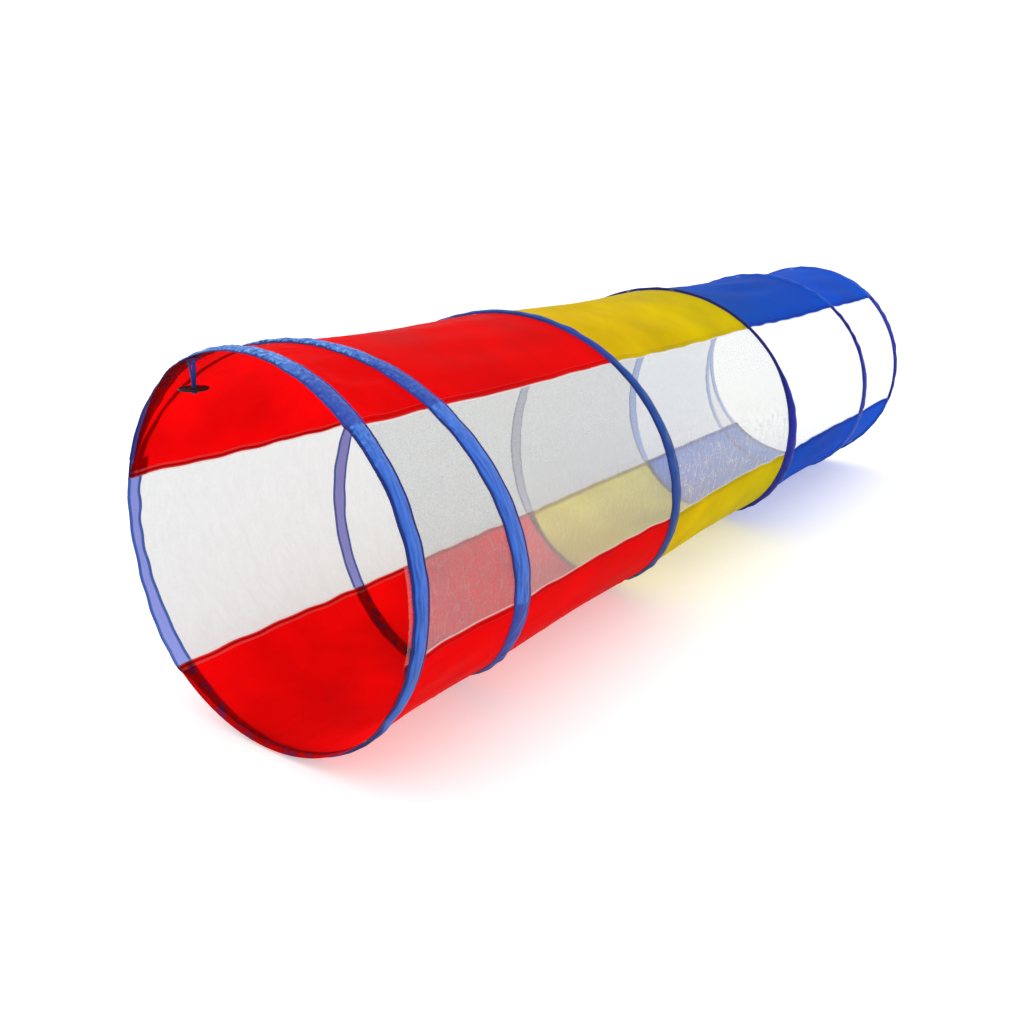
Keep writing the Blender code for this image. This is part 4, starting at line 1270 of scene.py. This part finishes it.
def paint_mesh(tree):
    """Sheer white mesh: fine threads round small holes, denser and whiter where it is folded or creased,
    the creases partly as a painted highlight; its inner side has painted shade, its last windows painted
    light.
    """
    colours = bpy.context.scene.tunnel_colours
    place = cloth_place(tree)
    cells = add_node(
        tree, "ShaderNodeTexVoronoi",
        {"Vector": place, "Scale": 620.0, "Randomness": 0.7},
        feature="DISTANCE_TO_EDGE",
    )
    thread = ramp(tree, cells.outputs["Distance"], 0.06, 0.2, 1.0, 0.0)
    inputs = {"Vector": place, "Rotation": (0, 0, 0.45), "Scale": (24.0, 62.0, 1.0)}
    ripple = noise(tree, add_node(tree, "ShaderNodeMapping", inputs).outputs[0], 1.0, 3.0, 1.5)
    away = maths(tree, "ABSOLUTE", maths(tree, "SUBTRACT", ripple, 0.5))
    crease = times(tree, ramp(tree, away, 0.004, 0.022, 1.0, 0.0), field(tree, "crinkle"))
    folded = ramp(tree, field(tree, "fold_room"), 0.92, 1.08, 1.0, 0.0)
    veil = field(tree, "veil")
    alpha = ramp(tree, ripple, 0.3, 0.7, 0.37, 0.40)
    for mask, share in ((thread, 0.05), (crease, 0.42), (folded, 0.3), (veil, 0.12)):
        alpha = maths(tree, "ADD", alpha, times(tree, mask, share))
    alpha = times(tree, alpha, ramp(tree, field(tree, "casing_room"), -0.003, -0.001, 0.2, 1.0))
    # Painted shade: the inner side of the mesh is drawn darker.
    inside = add_node(tree, "ShaderNodeNewGeometry").outputs["Backfacing"]
    painted_side_shading = blend(tree, inside, colours.mesh, colours.inner_mesh)
    # Painted light: the last windows' mesh is paler.
    toned = blend(tree, field(tree, "pale"), painted_side_shading, colours.pale_mesh)
    # Whiter where folded, creased or veiled: denser mesh, and at the creases also a painted highlight.
    bright = maths(tree, "MAXIMUM", maths(tree, "MAXIMUM", crease, folded), veil)
    lit = blend(tree, times(tree, bright, 0.7), toned, WHITER_MESH)
    finish_shader(tree, {
        "Base Color": lit,
        "Roughness": 0.8,
        "Specular IOR Level": 0.1,
        "Normal": bumped(tree, thread, 0.0003, 0.3),
    })
    holes = add_node(tree, "ShaderNodeBsdfTransparent").outputs[0]
    show_surface(tree, mix_shaders(tree, alpha, holes, let_light_through(tree, lit, 0.35)))


def paint_casing(tree):
    """Casing cloth: blue, stitched, with navy folded edges that are partly painted shade, a painted
    highlight along its crown, painted light and shade where it is gathered, and painted shade over the
    red panels.
    """
    colours = bpy.context.scene.tunnel_colours
    place = cloth_place(tree)
    tone = field(tree, "far_tone")
    room = field(tree, "edge_room")
    gather = field(tree, "gather")
    past_first = ramp(tree, tone, 0.0, 1.0)
    first = blend(tree, past_first, colours.casing, colours.middle_casing)
    plain = blend(tree, ramp(tree, tone, 1.0, 2.0), first, colours.far_casing)
    # Painted highlight along the raised middle of the casing.
    crown = blend(tree, past_first, CROWN_HIGHLIGHT, MIDDLE_CROWN_HIGHLIGHT)
    raised = blend(tree, ramp(tree, room, 0.004, 0.009, 0.0, 0.22), plain, crown)
    # Painted shade along the streaks of the gathers.
    toned = blend(tree, ramp(tree, streaks(tree), 0.4, 0.65, 0.0, 0.5), raised, colours.casing_edge)
    # Where the casing is gathered: a lighter blue, painted highlights on the ridges and painted shade in
    # the dips.
    specks = noise(tree, place, 190.0, 2.0)
    light = times(tree, ramp(tree, specks, 0.54, 0.66, 0.0, 0.9), gather)
    shade = times(tree, ramp(tree, specks, 0.43, 0.34, 0.0, 0.9), gather)
    lit_gathers = blend(tree, times(tree, gather, 0.5), toned, GATHER_LIGHT)
    shaded = blend(tree, shade, blend(tree, light, lit_gathers, GATHER_HIGHLIGHT), GATHER_SHADE)
    stray = times(tree, maths(tree, "SUBTRACT", specks, 0.5), 0.005)
    rough_edge = maths(tree, "ADD", room, times(tree, stray, gather))
    # Painted shade at the folded edges, ragged where the casing is gathered.
    edge = ramp(tree, rough_edge, 0.0028, 0.0042, 0.95, 0.0)
    edged = blend(tree, edge, shaded, colours.casing_edge)
    matched = blend(tree, field(tree, "over_blue"), edged, colours.blue)
    # Painted shade where the casing lies over the red panels.
    finished = blend(tree, times(tree, field(tree, "over_red"), 0.72), matched, colours.dim_casing)
    thread = stitches(tree, room, CASING_STITCH_ROOM, parts_of(tree, place)[0])
    finish_shader(tree, {
        "Base Color": finished,
        "Roughness": 0.5,
        "Specular IOR Level": 0.2,
        "Sheen Weight": 0.1,
        "Normal": bumped(tree, maths(tree, "ADD", weave(tree)["Height"], thread), 0.0007, 0.45),
    })
    show_surface(tree, let_light_through(tree, finished, 0.2))


def paint_lining(tree, base, rim_share, glow, glow_strength):
    """The inside of a casing, with a painted navy shade at its edges and a painted glow for the light
    coming through it.
    """
    toned = blend(tree, streaks(tree), scaled(base, 0.8), scaled(base, 1.15))
    rim = ramp(tree, field(tree, "edge_room"), 0.0034, 0.005, rim_share, 0.0)
    finish_shader(tree, {
        "Base Color": blend(tree, rim, toned, LINING_EDGE_SHADE),
        "Roughness": 0.7,
        "Specular IOR Level": 0.1,
        "Emission Color": (*glow, 1.0),
        "Emission Strength": glow_strength,
    })


def paint_ribbon(tree):
    """Woven navy ribbon with fine ribs across it."""
    colour = tuple(bpy.context.scene.tunnel_colours.ribbon)
    place = cloth_place(tree)
    rib = maths(tree, "SINE", times(tree, parts_of(tree, place)[1], 2 * math.pi * RIBS_PER_METRE))
    fuzz = noise(tree, place, 500.0, 3.0)
    finish_shader(tree, {
        "Base Color": blend(tree, fuzz, scaled(colour, 0.5), scaled(colour, 2.2)),
        "Roughness": 0.6,
        "Specular IOR Level": 0.2,
        "Normal": bumped(tree, rib, 0.00015, 0.5),
    })


def paint_steel(tree):
    """Drawn steel with fine scratches."""
    colour = tuple(bpy.context.scene.tunnel_colours.steel)
    grain = noise(tree, add_node(tree, "ShaderNodeTexCoord").outputs["Object"], 900.0, 4.0)
    finish_shader(tree, {
        "Base Color": blend(tree, grain, scaled(colour, 0.8), scaled(colour, 1.1)),
        "Roughness": ramp(tree, grain, 0.3, 0.7, 0.28, 0.45),
        "Metallic": 1.0,
    })


def paint_disc(tree):
    """Smooth black plastic with faint moulding marks."""
    colour = tuple(bpy.context.scene.tunnel_colours.disc)
    grain = noise(tree, add_node(tree, "ShaderNodeTexCoord").outputs["Object"], 700.0, 3.0)
    finish_shader(tree, {
        "Base Color": blend(tree, grain, scaled(colour, 0.7), scaled(colour, 1.6)),
        "Roughness": 0.45,
        "Specular IOR Level": 0.12,
        "Normal": bumped(tree, grain, 0.0002, 0.3),
    })


class TUNNEL_OT_stage(bpy.types.Operator):
    """Set up the camera, the lights and the floor"""

    bl_idname = "tunnel.stage"
    bl_label = "Stage"

    def execute(self, context):
        add_camera(context.scene)
        add_lights(context.scene)
        add_floor()
        return {"FINISHED"}


def add_camera(scene):
    """The camera: on a line from its target, level, at the photograph's focal length."""
    data = bpy.data.cameras.new("camera")
    data.sensor_width = SENSOR_WIDTH
    data.lens = SENSOR_WIDTH * CAMERA_FOCAL_PIXELS / IMAGE_PIXELS
    data.clip_start = CAMERA_NEAR
    camera = bpy.data.objects.new("camera", data)
    scene.collection.objects.link(camera)
    azimuth = math.radians(CAMERA_AZIMUTH)
    elevation = math.radians(CAMERA_ELEVATION)
    flat = math.cos(elevation)
    back = Vector((math.sin(azimuth) * flat, -math.cos(azimuth) * flat, math.sin(elevation)))
    camera.location = Vector(CAMERA_TARGET) + CAMERA_DISTANCE * back
    camera.rotation_euler = (-back).to_track_quat("-Z", "Y").to_euler()
    scene.camera = camera


def seen_directly(tree):
    """1 for what the camera sees, straight or in a gloss or a clear piece, and 0 for light."""
    path = add_node(tree, "ShaderNodeLightPath")
    seen = maths(tree, "MAXIMUM", path.outputs["Is Camera Ray"], path.outputs["Is Glossy Ray"])
    return maths(tree, "MAXIMUM", seen, path.outputs["Is Transmission Ray"])


def add_lights(scene):
    """A white surround that the camera sees as white, like the floor, and a broad soft sun."""
    world = bpy.data.worlds.new("white surround")
    scene.world = world
    world.use_nodes = True
    tree = world.node_tree
    strength = ramp(tree, seen_directly(tree), 0.0, 1.0, WORLD_LIGHT, WORLD_SEEN)
    set_inputs(tree, tree.nodes["Background"], {"Color": WHITE, "Strength": strength})
    lamp = bpy.data.lights.new("soft sun", "SUN")
    lamp.energy = SUN_STRENGTH
    lamp.angle = math.radians(SUN_WIDTH)
    thing = bpy.data.objects.new("soft sun", lamp)
    thing.location = SUN_PLACE
    thing.rotation_euler = (-thing.location).to_track_quat("-Z", "Y").to_euler()
    scene.collection.objects.link(thing)
    scene.view_settings.view_transform = "Standard"


def add_floor():
    """A plain pale floor that the camera sees as white where nothing shades it."""
    corners = np.array([(-1, -1, 0), (1, -1, 0), (1, 1, 0), (-1, 1, 0)]) * float(FLOOR_REACH)
    floor = mesh_object("floor", corners, [[0, 1, 2, 3]])
    give_material(floor, "pale_floor", paint_floor)


def paint_floor(tree):
    """Matt and pale, with a glow for the camera alone, so that shadows stay."""
    finish_shader(tree, {
        "Base Color": FLOOR_COLOUR,
        "Roughness": 0.9,
        "Specular IOR Level": 0.0,
        "Emission Color": WHITE,
        "Emission Strength": times(tree, seen_directly(tree), FLOOR_GLOW),
    })


class TUNNEL_OT_wire(bpy.types.Operator):
    """Make the spring wire and its two ferrules"""

    bl_idname = "tunnel.wire"
    bl_label = "Spring wire"

    def execute(self, context):
        near = build_tube("near_loop_wire", np.arange(JUNCTION_SPAN / 4 - FULL_TURN, 1, WIRE_STEP))
        ride_and_fold(near, "near_end")
        coil = build_tube("coil_wire", np.arange(0, WIRE_END + 1, WIRE_STEP))
        ride_and_fold(coil, "near_end", "spring_wire")
        last = WIRE_END + FULL_TURN - JUNCTION_SPAN / 4
        far = build_tube("far_loop_wire", np.arange(WIRE_END, last, WIRE_STEP))
        ride_and_fold(far, "far_end")
        build_ferrule("near_crimp", "near_end", "near_wire_ferrule")
        build_ferrule("far_crimp", "far_end", "far_wire_ferrule")
        return {"FINISHED"}


class TUNNEL_OT_casings(bpy.types.Operator):
    """Make the casings of both mouths and of the turns, and the patches over the ferrules"""

    bl_idname = "tunnel.casings"
    bl_label = "Casings"

    def execute(self, context):
        sizes = context.scene.tunnel_sizes
        first = JUNCTION_SPAN - FULL_TURN
        near = build_casing("near_mouth_casing", first, 0.0, MOUTH_SPACING, sizes)
        ride_and_fold(near, "near_end", "near_end_casing")
        last = WIRE_END + FULL_TURN - JUNCTION_SPAN
        far = build_casing("far_mouth_casing", WIRE_END, last, FAR_SPACING, sizes)
        ride_and_fold(far, "far_end", "far_end_casing")
        for turn, body in enumerate(TURN_BODIES):
            start = FULL_TURN * turn + (JUNCTION_SPAN if turn == 0 else 0)
            end = FULL_TURN * (turn + 1) - (JUNCTION_SPAN if turn == TURNS - 1 else 0)
            spacing = CASING_SPACING if turn < 2 else FAR_SPACING
            casing = build_casing(f"turn_{turn + 1}_casing", start, end, spacing, sizes)
            ride_and_fold(casing, body, f"coil_casing_{turn + 1}")
        near_pair = (NEAR_LOOP, NEAR_LOOP + WIRE_SPACING)
        far_pair = (FAR_LOOP - WIRE_SPACING, FAR_LOOP)
        build_cover("near_ferrule_patch", 0.0, near_pair, "near_end", "near_ferrule_cover", sizes)
        last = WIRE_END - JUNCTION_SPAN
        build_cover("far_ferrule_patch", last, far_pair, "far_end", "far_ferrule_cover", sizes)
        return {"FINISHED"}


class TUNNEL_OT_cloth(bpy.types.Operator):
    """Make the coloured panels of every strip"""

    bl_idname = "tunnel.cloth"
    bl_label = "Coloured panels"

    def execute(self, context):
        sizes = context.scene.tunnel_sizes
        for strip in range(TURNS + 1):
            build_panel(strip, "top", 0.0, TOP_END, sizes)
            build_panel(strip, "bottom", NEAR_WINDOW_END, BOTTOM_END, sizes)
        return {"FINISHED"}


class TUNNEL_OT_windows(bpy.types.Operator):
    """Make the mesh windows of every strip"""

    bl_idname = "tunnel.windows"
    bl_label = "Mesh windows"

    def execute(self, context):
        sizes = context.scene.tunnel_sizes
        for strip in range(TURNS + 1):
            build_window(strip, "near", TOP_END, NEAR_WINDOW_END, sizes)
            build_window(strip, "far", BOTTOM_END, FULL_TURN, sizes)
        return {"FINISHED"}


class TUNNEL_OT_closure(bpy.types.Operator):
    """Make the ribbon loop with its disc that holds the folded tunnel shut"""

    bl_idname = "tunnel.closure"
    bl_label = "Closure"

    def execute(self, context):
        build_closure()
        return {"FINISHED"}


class TUNNEL_PT_panel(bpy.types.Panel):
    """Lists the pieces of the tunnel with their sizes and colours"""

    bl_idname = "TUNNEL_PT_panel"
    bl_label = "Play Tunnel"
    bl_space_type = "VIEW_3D"
    bl_region_type = "UI"
    bl_category = "Play Tunnel"

    def draw(self, context):
        column = self.layout.column()
        for operator in OPERATORS:
            column.operator(operator.bl_idname)
        for group in (context.scene.tunnel_sizes, context.scene.tunnel_colours):
            box = self.layout.box()
            for name in group.bl_rna.properties.keys():
                if name not in {"rna_type", "name"}:
                    box.prop(group, name)


OPERATORS = (
    TUNNEL_OT_stage,
    TUNNEL_OT_wire,
    TUNNEL_OT_casings,
    TUNNEL_OT_cloth,
    TUNNEL_OT_windows,
    TUNNEL_OT_closure,
)
CLASSES = (TunnelSizes, TunnelColours, *OPERATORS, TUNNEL_PT_panel)


def register():
    """Add the classes and the scene's sizes and colours."""
    for item in CLASSES:
        bpy.utils.register_class(item)
    bpy.types.Scene.tunnel_sizes = bpy.props.PointerProperty(type=TunnelSizes)
    bpy.types.Scene.tunnel_colours = bpy.props.PointerProperty(type=TunnelColours)


def unregister():
    """Take the classes and the scene's sizes and colours away."""
    del bpy.types.Scene.tunnel_colours
    del bpy.types.Scene.tunnel_sizes
    for item in reversed(CLASSES):
        bpy.utils.unregister_class(item)


def main():
    """Build everything."""
    register()
    bpy.ops.tunnel.stage()
    bpy.ops.tunnel.wire()
    bpy.ops.tunnel.casings()
    bpy.ops.tunnel.cloth()
    bpy.ops.tunnel.windows()
    bpy.ops.tunnel.closure()


if __name__ == "__main__":
    main()
